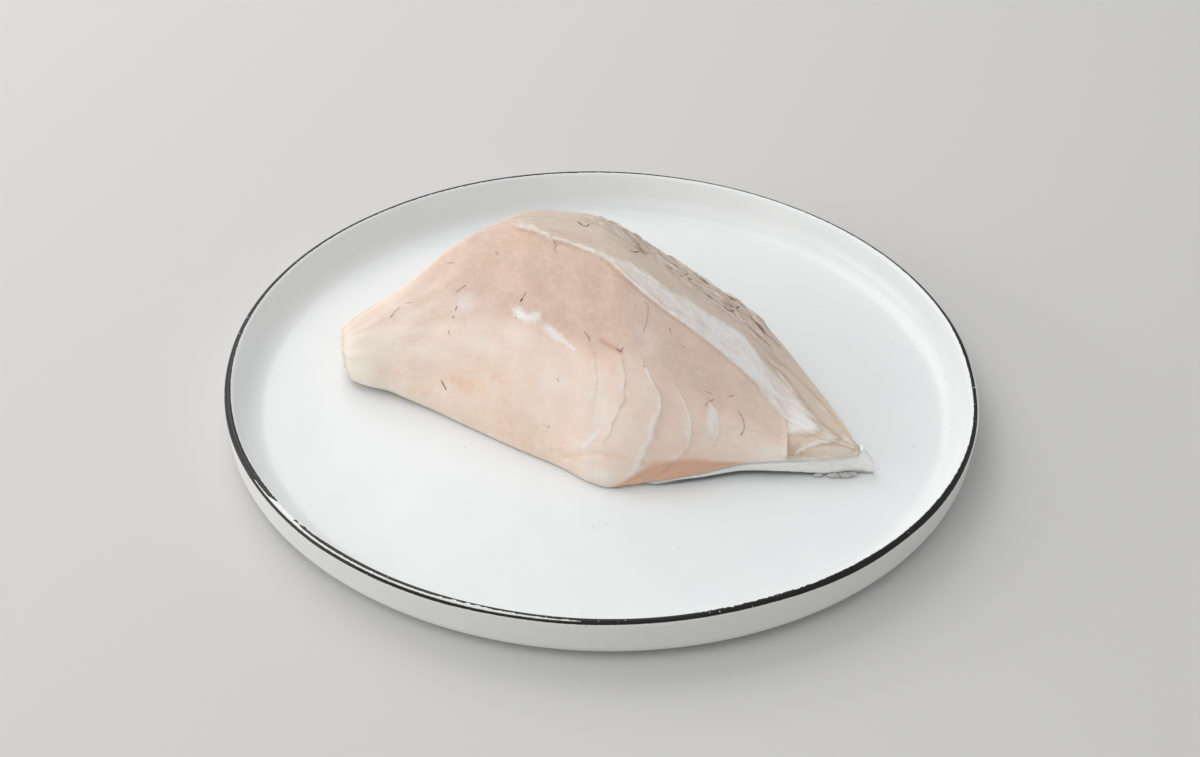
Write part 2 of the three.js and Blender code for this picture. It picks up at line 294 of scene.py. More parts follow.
def arc(centre_radius, centre_height, size, start, end, steps):
    """Points (radius, height) of an arc in the plate's profile, from one angle to another in degrees."""
    angles = [math.radians(mix(start, end, i / steps)) for i in range(steps + 1)]
    return [(centre_radius + size * math.cos(a), centre_height + size * math.sin(a)) for a in angles]


# %% [markdown]
# ## The plate
# A plate like this is thrown on a wheel: a flat floor, a wall that turns up in a soft fillet, and a
# rounded lip. In Blender the same gesture is a spin. A profile is drawn as a chain of vertices and
# turned once round the axis. A thrown plate is never perfectly even, so its lip and wall then
# wander by up to a millimetre, and the gleams in the glaze wander with them.

# %% Plate: profile and spin, in mm
PLATE_RADIUS = plate_high.x / MM
PLATE_HEIGHT = plate_high.z / MM
LIP_RADIUS = 1.7
FLOOR_Z = 4.6
RECESS_Z = 1.0
FOOT_INNER, FOOT_OUTER = 113, 123
WALL_FILLET, WALL_FILLET_Z = 4.9, 7.2
WELL_FILLET = 10
WALL_DRAFT = 0.6
WELL_DRAFT = 1
SPIN_STEPS = 250
UNEVEN = 0.25
# How far the rim strays outwards, against the azimuth in degrees
RIM_OUT = through([(-180, 0), (-150, 0.4), (-125, 0.9), (-95, 0.2), (-60, 0), (-15, 0.6), (0, 0), (20, -0.8),
                   (45, -0.7), (90, 0), (180, 0)])

lip_z = PLATE_HEIGHT - LIP_RADIUS
lip_middle = PLATE_RADIUS - LIP_RADIUS
wall_middle = PLATE_RADIUS - WALL_DRAFT - WALL_FILLET
well_middle = PLATE_RADIUS - 2 * LIP_RADIUS - WELL_DRAFT - WELL_FILLET
profile = [
    (0, RECESS_Z), (40, RECESS_Z), (80, RECESS_Z), (FOOT_INNER - 3, RECESS_Z),
    (FOOT_INNER - 1, RECESS_Z * 0.9),
    (FOOT_INNER, 0), (FOOT_INNER + 3, 0), (FOOT_OUTER - 3, 0), (FOOT_OUTER, 0), (FOOT_OUTER + 2.5, 0.7),
    *arc(wall_middle, WALL_FILLET_Z, WALL_FILLET, -80, 0, 12),
    *[(mix(PLATE_RADIUS - WALL_DRAFT, PLATE_RADIUS, share), mix(WALL_FILLET_Z, lip_z, share))
      for share in (0.25, 0.5, 0.7, 0.8, 0.88, 0.94)],
    *arc(lip_middle, lip_z, LIP_RADIUS, 0, 180, 26),
    *arc(well_middle, FLOOR_Z + WELL_FILLET, WELL_FILLET, -6, -90, 22),
    *[(radius, FLOOR_Z) for radius in (120, 110, 95, 80, 60, 40, 20, 0)],
]

bm = bmesh.new()
chain = [bm.verts.new((radius * MM, 0, height * MM)) for radius, height in profile]
links = [bm.edges.new(pair) for pair in zip(chain, chain[1:])]
bmesh.ops.spin(bm, geom=chain + links, axis=(0, 0, 1), cent=(0, 0, 0), angle=math.tau, steps=SPIN_STEPS,
               use_merge=True)
bmesh.ops.remove_doubles(bm, verts=bm.verts, dist=0.01 * MM)
plate_mesh = bpy.data.meshes.new("glazed_plate")
bm.to_mesh(plate_mesh)
bm.free()

thrown = places(plate_mesh) / MM
radius = np.hypot(thrown[:, 0], thrown[:, 1])
turn = np.arctan2(thrown[:, 1], thrown[:, 0])
upper_wall = smooth(FLOOR_Z, PLATE_HEIGHT, thrown[:, 2]) * smooth(118, 130, radius)
ripple = UNEVEN * (wander(2 + 2 * np.cos(turn), 2 + 2 * np.sin(turn), 3)
                   + 0.5 * wander(9 + 5 * np.cos(turn), 9 + 5 * np.sin(turn), 4))
outwards = (RIM_OUT(np.degrees(turn)) - np.abs(ripple)) * upper_wall
uneven = thrown.copy()
uneven[:, 0] += outwards * np.cos(turn)
uneven[:, 1] += outwards * np.sin(turn)
uneven[:, 2] += ripple * upper_wall
move_to(plate_mesh, uneven * MM)
face_out(plate_mesh)

# %% [markdown]
# ## The black line
# The line is slip or stain brushed on the lip by hand, so its two edges stray. At the front left
# it shows as two strokes with a pale stripe of glaze between them, and the inner one skips. The
# distance of each vertex from the crest, measured round the lip, says how far inside the line it
# is. A second number says how ragged its edge is there, because a dry brush frays.

# %% Plate: how far each vertex is inside the painted line, in mm
# Places across the lip, in mm from the crest and negative outside, against the azimuth in degrees
LINE_OUTER_EDGE = through([
    (-180, -2.4), (-150, -2.4), (-112, -2.35), (-106, -2.1), (-90, -1.8), (-82, -1.6), (-66, -1.9),
    (-58, -2.3), (-50, -2.5), (-42, -2.2), (-34, -2.4), (-20, -1.6), (0, -0.8), (20, -2), (60, -1.1),
    (100, -1.1), (140, -1.7), (180, -2.4)])
LINE_INNER_EDGE = through([
    (-180, 0.5), (-162, 0.9), (-148, 0.9), (-134, 0.6), (-130, 2.2), (-114, 2.2), (-109, 1.6),
    (-98, 1.5), (-92, 1.8), (-86, 2.2), (-80, 2), (-75, 0.8), (-64, 0.5), (-59, 0.2), (-20, 0.3),
    (0, 0.6), (20, 0.1), (60, 0.1), (100, 0.5), (140, 0.4), (180, 0.5)])
# The stripe of glaze between the two strokes: there is none where its end lies below its start
GLAZE_FROM = through([(-180, -1.15), (-110, -1.15), (-98, -0.95), (-88, -0.75), (180, -0.7)])
GLAZE_TO = through([
    (-180, -4), (-152, -4), (-150, -1), (-145, -0.7), (-142, 1.6), (-139.5, 1.6), (-138, -0.3),
    (-130, -0.5), (-112, -0.45), (-109, -0.2), (-99, -0.3), (-92, -0.6), (-86, -4), (180, -4)])
RAGGEDNESS = through([
    (-180, 0.2), (-152, 0.4), (-146, 1), (-142, 3.5), (-138, 3), (-135, 1.2), (-114, 1), (-109, 2.5),
    (-98, 2.5), (-90, 1), (-80, 0.8), (-75, 3), (-64, 3), (-58, 0.8), (-40, 0.5), (180, 0.2)])

lip_angle = np.arctan2(thrown[:, 2] - lip_z, radius - lip_middle)
quarter = LIP_RADIUS * math.pi / 2
from_crest = LIP_RADIUS * (lip_angle - math.pi / 2)
below_lip = thrown[:, 2] < lip_z
outside = radius > lip_middle
from_crest = np.where(below_lip & outside, thrown[:, 2] - lip_z - quarter, from_crest)
from_crest = np.where(below_lip & ~outside, quarter + lip_z - thrown[:, 2], from_crest)
degrees = np.degrees(turn)
in_line = np.minimum(from_crest - LINE_OUTER_EDGE(degrees), LINE_INNER_EDGE(degrees) - from_crest)
in_line = np.minimum(in_line, np.maximum(GLAZE_FROM(degrees) - from_crest, from_crest - GLAZE_TO(degrees)))
paint(plate_mesh, "in_line", in_line)
paint(plate_mesh, "ragged", 0.3 + RAGGEDNESS(degrees) * smooth(-0.7, 0.2, from_crest))
paint(plate_mesh, "outer_side", smooth(lip_middle - 0.5, lip_middle + 1.5, radius))
print("plate", round(PLATE_RADIUS * 2), "mm across, lip", round(2 * LIP_RADIUS, 1), "mm thick")

# %% [markdown]
# ## Glazed stoneware
# A white glaze is a thin skin of glass over clay: slightly cool, satin, never quite level, with a
# few iron specks. Its gleams are soft, so its roughness is moderate, and its bump is wide and
# shallow. Outside it is a touch greyer, and the brushed line shines less than the
# glaze beside it, and is chipped here and there. Only the foot ring is wiped clean
# of glaze, so it is matt and warmer.

# %% Material: glazed stoneware with a brushed black line
GLAZE_WAVE_MM = 22
FRAY_MM = 1.6
CHIP_MM = 1.7
SPECK_MM = 9

glaze, tree = new_material("white_glazed_stoneware")
place = add(tree, "ShaderNodeTexCoord").outputs["Object"]
wave = add(tree, "ShaderNodeTexNoise", {"Vector": place, "Scale": 1 / (GLAZE_WAVE_MM * MM), "Detail": 2})
fray = add(tree, "ShaderNodeTexNoise", {"Vector": place, "Scale": 1 / (FRAY_MM * MM), "Detail": 3})
chips = add(tree, "ShaderNodeTexNoise", {"Vector": place, "Scale": 1 / (CHIP_MM * MM), "Detail": 2})
specks = add(tree, "ShaderNodeTexVoronoi", {"Vector": place, "Scale": 1 / (SPECK_MM * MM)})

inside_line = add(tree, "ShaderNodeAttribute", attribute_name="in_line").outputs["Fac"]
ragged_edge = add(tree, "ShaderNodeAttribute", attribute_name="ragged").outputs["Fac"]
stray = add(tree, "ShaderNodeMath", {0: fray.outputs["Fac"], 1: 0.5}, operation="SUBTRACT")
strayed = add(tree, "ShaderNodeMath", {0: stray.outputs[0], 1: ragged_edge, 2: inside_line},
              operation="MULTIPLY_ADD")
covered = add(tree, "ShaderNodeMapRange", {"Value": strayed.outputs[0], "From Min": -0.07, "From Max": 0.07})
whole = add(tree, "ShaderNodeMapRange", {"Value": chips.outputs["Fac"], "From Min": 0.24, "From Max": 0.27})
line_share = add(tree, "ShaderNodeMath", {0: covered.outputs[0], 1: whole.outputs[0]}, operation="MULTIPLY")

tint = add(tree, "ShaderNodeMix", {SHARE: wave.outputs["Fac"], FIRST: to_linear("#f6f8f8"),
                                   SECOND: to_linear("#f1f4f4")}, data_type="RGBA")
specked = add(tree, "ShaderNodeMapRange", {"Value": specks.outputs["Distance"], "From Min": 0.025,
                                           "From Max": 0.04, "To Min": 0.55, "To Max": 0})
outer_side = add(tree, "ShaderNodeAttribute", attribute_name="outer_side").outputs["Fac"]
greyer_outside = add(tree, "ShaderNodeMix", {SHARE: outer_side, FIRST: tint.outputs[MIXED],
                                      SECOND: to_linear("#ebebe6")}, data_type="RGBA")
dotted = add(tree, "ShaderNodeMix", {SHARE: specked.outputs[0], FIRST: greyer_outside.outputs[MIXED],
                                     SECOND: to_linear("#a9a39c")}, data_type="RGBA")
height = add(tree, "ShaderNodeSeparateXYZ", {"Vector": place}).outputs["Z"]
foot = add(tree, "ShaderNodeMapRange", {"Value": height, "From Min": 0.5 * MM, "From Max": 0.2 * MM})
footed = add(tree, "ShaderNodeMix", {SHARE: foot.outputs[0], FIRST: dotted.outputs[MIXED],
                                     SECOND: to_linear("#cfc3b2")}, data_type="RGBA")
colour = add(tree, "ShaderNodeMix", {SHARE: line_share.outputs[0], FIRST: footed.outputs[MIXED],
                                     SECOND: to_linear("#242322")}, data_type="RGBA")
dull_foot = add(tree, "ShaderNodeMapRange", {"Value": foot.outputs[0], "To Min": 0.32, "To Max": 0.8})
line_gloss = add(tree, "ShaderNodeMapRange", {"Value": line_share.outputs[0], "To Min": 0.5, "To Max": 0.25})
glaze_bump = add(tree, "ShaderNodeBump",
                 {"Height": wave.outputs["Fac"], "Distance": 1.2 * MM, "Strength": 0.35})
shader = add(tree, "ShaderNodeBsdfPrincipled", {
    "Base Color": colour.outputs[MIXED], "Roughness": dull_foot.outputs[0], "IOR": 1.5,
    "Specular IOR Level": line_gloss.outputs[0],
    "Normal": glaze_bump.outputs["Normal"]})
add(tree, "ShaderNodeOutputMaterial", {"Surface": shader.outputs["BSDF"]})
glazed_plate = show(plate_mesh, glaze, "glazed_stoneware", "plate")

# %% [markdown]
# ## The loin's form
# A loin is a long wedge. Four guide lines along it say where its front edge, its ridge, its
# shoulder and its foot run, and a cross-section is drawn between them at any station: up the front
# face, over the strip of muscle behind the ridge, down the back and home along the underside. These are
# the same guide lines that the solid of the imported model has, in millimetres along x.

# %% Loin: guide lines
NOSE_X, TIP_X = -99, 93.3
LAYER_START_X, LAYER_PEAK_X, LAYER_TIP_X = -78, 94.6, 98.8
REST_GAP = 0.3
NOSE_ROUND, NOSE_SHARE, NOSE_LEAN = 4.5, 0.82, 0.4
UNDERSIDE_INSET = 1.2
MUSCLE_END_X = 67.4

front_y = through([
    (-98, 8.5), (-95, 2.6), (-88, -1.3), (-80, -3.7), (-74, -6.9), (-64, -12.5), (-48, -23.0),
    (-29, -35.5), (-14, -44.7), (-3, -53), (3, -55), (14, -53.6), (36, -49), (52, -45.3), (66.5, -44.9),
    (79, -44.4), (92, -41.8), (99, -41.5)])
ridge_y = through([
    (-98, 14), (-90, 17), (-73, 26), (-63, 35), (-52, 42), (-40, 47), (-28, 42.5), (-8, 32),
    (2, 26), (13, 15.5), (31, 1), (51, -11), (68, -26.5), (80, -35), (88, -37.5), (93.3, -40)])
ridge_z = through([
    (-98, 21.3), (-95, 24.2), (-84, 30.6), (-73, 36.8), (-52, 46.5), (-40, 49), (-28, 50.5),
    (2, 48.5), (13, 45), (31, 37), (51, 26), (68, 15.8), (80, 14.6), (88, 13.9), (93.3, 13.3)])
shoulder_y = through([
    (-98, 20), (-90, 23), (-73, 32), (-52, 47), (-38, 54), (-25, 56.5), (-10, 55.5), (1.5, 53),
    (9, 50), (25, 43), (40, 35.8), (48, 32), (55.4, 28), (59, 26), (63, 20.8), (70.3, 11.2),
    (77.4, -1.3), (84.2, -15), (90.6, -31), (93.3, -37.3), (99, -41)])
shoulder_z = through([
    (-98, 20.5), (-90, 24), (-73, 31), (-52, 41), (-40, 46), (-34, 50), (-25, 50.8), (-2, 50.2),
    (5, 48), (17, 43.2), (25, 40), (40, 33.5), (48, 30), (59, 25.4), (63, 23), (70.3, 19.2),
    (77.4, 16.6), (84.2, 15), (90.6, 14), (93.3, 13.2)])
edge_lift = through([
    (-98, 2.2), (-88, 1.9), (-80, 1.7), (-73, 1.2), (-65, 0.7), (-57, 0.35), (-48, 0.15), (-38, 0),
    (12, 0), (18, 0.5), (25, 0.8), (36, 1.0), (45, 1.2), (52, 1.5), (60, 1.5), (67, 1.1), (80, 0.3),
    (87, 0.1), (99, 0.1)])
front_thickness = through([
    (-78, 0.9), (12, 1.1), (22, 0.9), (36, 1.6), (43, 2.3), (52, 3.3), (67, 5.1), (79, 6.5), (92, 7.1),
    (93.3, 7.4), (LAYER_PEAK_X, 9.2), (96.5, 7.2), (98, 5.4), (LAYER_TIP_X, 4.2)])
back_thickness = through([
    (-78, 0.9), (60, 1.4), (80, 2.5), (90, 6), (93.3, 7.4), (LAYER_PEAK_X, 9.2), (96.5, 7.2), (98, 5.4),
    (LAYER_TIP_X, 4.2)])
layer_proud = through([(20, 0.4), (75, 0.4), (87, 1.4), (99, 1.3)])
layer_lean = through([(70, 0), (86, 2.4), (94, 2.4), (99, 1.8)])
edge_wall = through([(-98, 0.5), (-60, 0.35), (-3, 0.3), (12, 0.42), (32, 0.5), (94, 0.5)])


def back_y(x):
    """The foot of the back face."""
    return shoulder_y(x) + 1.5 * (1 - smooth(80, 93, x))


def lowest_z(x):
    """How high the front edge lies over the table."""
    return FLOOR_Z + REST_GAP + edge_lift(x)


def layer_bottom(x, y):
    """The underside of the white layer, lifted off the plate along the front edge."""
    inward = np.where(x > -60, 1 - smooth(4, 34, y - front_y(x)), 1)
    return FLOOR_Z + REST_GAP + edge_lift(x) * inward


def layer_top(x, y):
    """The top of the white layer, which the flesh lies on."""
    inward = smooth(2, 22, y - front_y(x))
    return layer_bottom(x, y) + mix(front_thickness(x), back_thickness(x), inward)


def cubic(a, b, c, d, t):
    """A cubic curve from a to d that leaves towards b and arrives from c."""
    return (1 - t)**3 * a + 3 * (1 - t)**2 * t * b + 3 * (1 - t) * t**2 * c + t**3 * d


# %% [markdown]
# ## Flakes
# Raw fish comes apart in flakes, and on a cut face each flake's edge shows as a bow. Every edge
# here is its own curve, given as x against the share q of the way up the face. The sections of
# the mesh follow these bows, so that each edge is a line of the mesh and can stand crisply over
# the next flake, where a straight grid would cut it into little stairs.

# %% Loin: the bowed flake edges
generic_bow = through([
    (-99, 0), (-60, 2), (-30, 10), (-7, 16), (5, 16.8), (17, 14.6), (30, 13), (45, 8), (60, 3), (67, 0)])


def plain_bow(station):
    """The bow between two flake edges, as points (q, x)."""
    return [(q, station + float(generic_bow(station)) * math.sin(math.pi * q**0.8))
            for q in np.linspace(0, 1, 9)]


# For each flake: its station at the foot of the face, between which shares of the face it shows,
# its height in mm, over how many mm the face rises again behind it, how white its rim is, how much
# deeper the flesh behind it is, and its points (q, x). The last is the square end of the muscle.
FLAKES = [
    dict(station=-18, shown=(0.46, 0.67), height=0.2, run=6, rim=0.55, deeper=0.02,
         line=[(0, -18), (0.2, -9.5), (0.4, -4), (0.55, -2), (0.65, -3.4), (0.75, -6.5), (1, -18)]),
    dict(station=-7, shown=(0.30, 0.72), height=0.35, run=7, rim=0.6, deeper=0.05,
         line=[(0, -7), (0.16, -4.4), (0.31, 1.8), (0.4, 4.7), (0.49, 7.6), (0.57, 8.2), (0.64, 7),
               (0.7, 5), (0.8, 1.5), (1, -7)]),
    dict(station=5, shown=(0.03, 0.72), height=0.8, run=8, rim=1.0, deeper=0.14,
         line=[(0, 5), (0.05, 9.5), (0.12, 13.2), (0.2, 15.2), (0.27, 17.2), (0.34, 18.5),
               (0.43, 20.4), (0.52, 21.2), (0.58, 19.6), (0.64, 16.8), (0.68, 14.5), (0.8, 11), (1, 5)]),
    dict(station=15.5, shown=(0.08, 0.68), height=0.55, run=7, rim=0.9, deeper=0.06,
         line=[(0, 15.5), (0.06, 20), (0.1, 23), (0.15, 26.2), (0.2, 28.7), (0.26, 31.2), (0.35, 32.5),
               (0.46, 32), (0.54, 30.3), (0.6, 28), (0.65, 25.8), (0.72, 21.5), (1, 15.5)]),
    dict(station=31, shown=(0.24, 0.64), height=0.45, run=5, rim=1.1, deeper=0.0,
         line=[(0, 31), (0.24, 39), (0.33, 41.6), (0.41, 42.9), (0.52, 42.2), (0.59, 40.4),
               (0.63, 38.6), (0.75, 35), (1, 31)]),
    dict(station=67, shown=(-0.1, 1.1), height=0.7, run=60, rim=0, deeper=0,
         line=[(0, 67), (0.2, 66.8), (0.44, 67.2), (0.71, 68.2), (0.9, 67.9), (1, 67)]),
]
EDGE_WIDTH = 0.45
# Where the flakes end on the back face, and how far they bow there, in mm
BACK_FLAKES = (-76, -61, -43, -27, -12, 5, 19, 33, 45, 57)
BACK_BOW = 8
bowed_lines = sorted([(s, plain_bow(s)) for s in (-99, -60, -30, 45, 60, 93.3)]
                     + [(flake["station"], flake["line"]) for flake in FLAKES])


def bowed_x(station, q):
    """The x of a section at share q of the face: sections between two edges share out their bows."""
    stations = np.array([s for s, _ in bowed_lines], float)
    lines = np.array([through(points)(q) for _, points in bowed_lines])
    i = np.clip(np.searchsorted(stations, station, side="right") - 1, 0, len(stations) - 2)
    share = (station - stations[i]) / (stations[i + 1] - stations[i])
    column = np.arange(len(q))
    return mix(lines[i, column], lines[i + 1, column], share)


# %% Loin: a point of the plain form, before any relief
FRONT, STRIP, BACK, UNDER = 0, 1, 2, 3


def plain_form(x, side, t, size):
    """Points of the section at x: side says which face, t how far along it, size how far drawn in."""
    front, back = front_y(x), back_y(x)
    wrapped_front, wrapped_back = 1 - smooth(0, 14, x), 1 - smooth(66, 82, x)
    front_low = mix(layer_top(x, front) + REST_GAP, lowest_z(x), wrapped_front)
    back_low = mix(layer_top(x, back) + REST_GAP, layer_bottom(x, back), wrapped_back)
    across, rise = ridge_y(x) - front, ridge_z(x) - front_low
    face_y = cubic(front, front + 0.02 * across, front + 0.42 * across, ridge_y(x), t)
    face_z = cubic(front_low, front_low + edge_wall(x) * rise, front_low + 0.82 * rise, ridge_z(x), t)

    crown = 1.6 * np.sin(np.pi * t) * (1 - smooth(60, 92, x))
    strip_y = mix(ridge_y(x), shoulder_y(x), t)
    strip_z = mix(ridge_z(x), shoulder_z(x), t) + crown

    bulge = shoulder_y(x) + 4 * (1 - smooth(60, 90, x))
    half = mix(back_low, shoulder_z(x), 0.45)
    back_face_y = (1 - t)**2 * shoulder_y(x) + 2 * t * (1 - t) * bulge + t**2 * back
    back_face_z = (1 - t)**2 * shoulder_z(x) + 2 * t * (1 - t) * half + t**2 * back_low

    inset = np.minimum(UNDERSIDE_INSET, 0.06 * (back - front))
    under_y = mix(back - inset, front + inset, t)
    under_z = layer_top(x, under_y) + REST_GAP

    y = np.choose(side, [face_y, strip_y, back_face_y, under_y])
    z = np.choose(side, [face_z, strip_z, back_face_z, under_z])
    past = x - NOSE_X
    height = (z - lowest_z(x)) / (ridge_z(x) - lowest_z(x))
    lean = NOSE_LEAN * (1 - height) * (1 - smooth(0, 14, past))
    middle_y, middle_z = (front + back) / 2, (front_low + ridge_z(x)) / 2
    return np.stack([x + lean, mix(middle_y, y, size), mix(middle_z, z, size)], 1)


def nose_size(x):
    """How far a section near the blunt end is drawn in towards its middle."""
    past = np.clip((x - NOSE_X) / NOSE_ROUND, 0, 1)
    return mix(NOSE_SHARE, 1, np.sqrt(1 - (1 - past)**2))


def skin_point(x, q):
    """The place on the plain form at x and q, where q is 0 to 1 up the face and 1 to 2 over the strip."""
    x, q = np.asarray(x, float), np.asarray(q, float)
    side = np.clip(np.floor(q), FRONT, STRIP).astype(int)
    return plain_form(x, side, q - side, nose_size(x))


# %% [markdown]
# ## From a ball to a loin
# A ball of rings is already closed and has a pole at each end. Each ring is moved to a station of
# the loin, and each point of the ring to its place in the section. Rings stand closer at the
# blunt end, at the pointed end and at each flake edge, where the form turns faster.

# %% Loin: rings, stations and places in the ring
POINTS = {FRONT: 150, STRIP: 56, BACK: 40, UNDER: 40}
CAP_RINGS = 7
STATION_RINGS = 322


def ball_of_rings(name, rings, around):
    """A closed ball, with the ring of each vertex, from 0 at one pole, and its place in the ring."""
    bm = bmesh.new()
    bmesh.ops.create_uvsphere(bm, u_segments=around, v_segments=rings + 1, radius=1)
    mesh = bpy.data.meshes.new(name)
    bm.to_mesh(mesh)
    bm.free()
    ball = places(mesh)
    from_pole = np.arctan2(np.hypot(ball[:, 0], ball[:, 1]), ball[:, 2])
    ring = np.rint(from_pole / math.pi * (rings + 1)).astype(int)
    in_ring = np.rint(np.arctan2(ball[:, 1], ball[:, 0]) / math.tau * around).astype(int) % around
    return mesh, ring, in_ring


def spread_stations(count, start, end, crowded):
    """Stations from start to end, closer together round each (x, reach, how much closer) of crowded."""
    fine = np.linspace(start, end, 8000)
    density = np.ones_like(fine)
    for x, reach, closer in crowded:
        density += closer * np.exp(-((fine - x) / reach)**2)
    total = np.concatenate([[0], np.cumsum((density[1:] + density[:-1]) / 2)])
    return np.interp(np.linspace(0, total[-1], count), total, fine)


crowded = [(NOSE_X, 4, 3), (82, 14, 0.7)]
crowded += [(flake["station"] + 0.2, 1, 3.5) for flake in FLAKES]
stations = spread_stations(STATION_RINGS, NOSE_X, TIP_X, crowded)
ring_station = np.concatenate([np.full(CAP_RINGS + 1, NOSE_X), stations, [TIP_X]])
cap_size = NOSE_SHARE * np.arange(CAP_RINGS + 1) / (CAP_RINGS + 1)
ring_size = np.concatenate([cap_size, nose_size(stations), [0]])

around = sum(POINTS.values())
side_points = np.array(list(POINTS.values()))
flesh_mesh, ring, in_ring = ball_of_rings("loin_muscle", CAP_RINGS + STATION_RINGS, around)
side_start = np.concatenate([[0], np.cumsum(side_points)])
side = np.searchsorted(side_start, in_ring, side="right") - 1
t = (in_ring - side_start[side]) / side_points[side]
station = ring_station[ring]
size = ring_size[ring]
x = np.where(side == FRONT, bowed_x(station, t), station)
q = side + t
plain = plain_form(x, side, t, size)
print("loin", len(q), "vertices,", STATION_RINGS, "sections of", around, "points")

# %% [markdown]
# ## Lines and fields on the skin
# Marks on the fish are placed in its own coordinates: x along it, and q up the face and over
# the strip. A line is measured against by its distance in millimetres, and a field by its signed
# distance, positive inside. Both then serve twice, as relief and as colour.

# %% Loin: distances to lines and fields


def soft_line(points, steps=40):
    """A smooth line through (x, q) points, as places on the plain form."""
    walked = np.arange(len(points))
    at = np.linspace(0, len(points) - 1, steps)
    xs = through([(i, p[0]) for i, p in zip(walked, points)])(at)
    qs = through([(i, p[1]) for i, p in zip(walked, points)])(at)
    return skin_point(xs, qs)


def distance_to(points):
    """The distance in mm of each vertex from a line of (x, q) points."""
    line = soft_line(points)
    nearest = np.full(len(plain), 1e9)
    for a, b in zip(line[:-1], line[1:]):
        along = b - a
        share = np.clip(((plain - a) @ along) / max(along @ along, 1e-9), 0, 1)
        nearest = np.minimum(nearest, np.linalg.norm(plain - a - share[:, None] * along, axis=1))
    return nearest


def inside(outline):
    """Which vertices lie inside a closed outline of (x, q) points."""
    odd = np.zeros(len(q), bool)
    for (x0, q0), (x1, q1) in zip(outline, outline[1:] + outline[:1]):
        if q0 != q1:
            odd ^= ((q0 > q) != (q1 > q)) & (x < x0 + (q - q0) * (x1 - x0) / (q1 - q0))
    return odd


def field(outline):
    """The signed distance in mm of each vertex from a field's outline, positive inside."""
    return distance_to(outline + outline[:1]) * np.where(inside(outline), 1, -1)


# The knee between the upper face and the paler lower face
knee_q = through([(-99, 0.80), (-84, 0.74), (-61, 0.59), (-38, 0.64), (-24, 0.66), (-1, 0.64), (16, 0.70),
                  (28, 0.66), (45, 0.58), (67, 0.5)])
# The crease at the lower right, under which the face turns in
crease_q = through([(2, -0.02), (3.8, 0.0), (11, 0.07), (20.6, 0.16), (32, 0.17), (45, 0.09), (56, 0.0),
                    (60, -0.05)])

INNER_NEST = [
    (42, 1.06), (44, 1.25), (48, 1.36), (53, 1.42), (58, 1.42), (62, 1.42), (67, 1.4), (71.5, 1.36),
    (76, 1.24), (78.8, 1.13), (76.5, 1.02), (71.5, 0.9), (69.5, 0.8), (66.5, 0.7), (63, 0.98), (60, 1.0),
    (50, 1.0)]
MIDDLE_NEST = [
    (54, 1.47), (60.5, 1.44), (66, 1.5), (70, 1.45), (73, 1.39), (79, 1.28), (83, 1.22), (85.5, 1.17),
    (83.5, 1.02), (79.5, 0.9), (77, 0.76), (74, 0.6), (70.5, 0.38), (67.3, 0.24), (66, 0.98), (60, 1.04)]
OUTER_NEST = [
    (58, 1.53), (64, 1.57), (70.5, 1.66), (79, 1.67), (86, 1.64), (90, 1.4), (91, 1.14), (90.3, 0.8),
    (86.3, 0.4), (82.5, 0.22), (75, 0.1), (67.6, 0.04), (66, 0.98), (60, 1.04)]
TORN_PATCHES = [
    [(-34, 0.685), (-31, 0.70), (-28.5, 0.685), (-26, 0.695), (-24, 0.695), (-24, 0.67), (-28.5, 0.65),
     (-32, 0.655)],
    [(-22, 0.655), (-19.5, 0.67), (-16.5, 0.655), (-15, 0.64), (-16.5, 0.622), (-19.5, 0.635)]]
SEPTUM_FIELD = [
    (-35, 1.1), (-33, 1.3), (-29, 1.27), (-25, 1.17), (-20.7, 1.06), (-13.5, 1.08), (-5.7, 1.12), (0, 1.14),
    (5.5, 1.2), (11.3, 1.28), (17, 1.31), (24.5, 1.34), (32, 1.42), (38, 1.44), (44, 1.45), (52, 1.5),
    (57, 1.45), (60, 1.36), (66, 1.2), (62, 1.08), (50, 1.03), (32, 1.02), (13, 1.0), (-3, 0.99),
    (-15, 0.99), (-21, 0.98), (-28, 1.0)]
SEPTUM_RIM = [
    (-36, 1.2), (-33.5, 1.06), (-29, 1.0), (-25, 1.02), (-20, 0.995), (-13.5, 1.01), (-6, 1.04), (0, 1.03),
    (5.5, 0.99), (13, 0.99), (20.5, 0.995), (29.5, 1.03), (37, 1.045), (43, 1.05), (50.5, 1.05),
    (56.5, 1.07), (62.5, 1.1), (66, 1.06)]
nests = [field(outline) for outline in (INNER_NEST, MIDDLE_NEST, OUTER_NEST)]
septum = field(SEPTUM_FIELD)
torn = [field(outline) for outline in TORN_PATCHES]
septum_rim = distance_to(SEPTUM_RIM)
torn_streak = distance_to([(-16.5, 0.645), (-13, 0.63), (-10.5, 0.618)])
low_streak = distance_to([(-6, 0.245), (-3.6, 0.29), (-1.2, 0.34)])
low_fold = distance_to([(-13, 0.11), (-7, 0.185), (0, 0.235), (7, 0.21), (14, 0.16), (20, 0.15)])
red_smear = distance_to([(-1, 0.7), (2.5, 0.69), (6.5, 0.68)])
print("fields measured")

# %% [markdown]
# ## Relief
# Each flake stands a step over the next one and sinks back under it. Above the knee the face
# lies a little lower, under the crease it turns in, and the nested layers beside the pointed
# end step down one after the other. The edge of the back is rough torn membrane. All of this
# moves the vertices by about a millimetre at most, along the face's own slope.

# %% Loin: relief in mm
LIP_OVER_FLAKE = 0.2
BACK_STEP, BACK_STEP_WIDTH, BACK_RUN = 0.5, 0.8, 7
KNEE_STEP, FOLD_DEPTH, CREASE_STEP = 0.3, 0.4, 1.1
NEST_DROPS = (0.3, 0.3, 0.15)
RIM_HEIGHT, BAND_CRINKLE, STRIP_GROOVE = 0.45, 0.3, 0.5
MEMBRANE_HEIGHT = 0.6
LOBE_STEP = 1.0

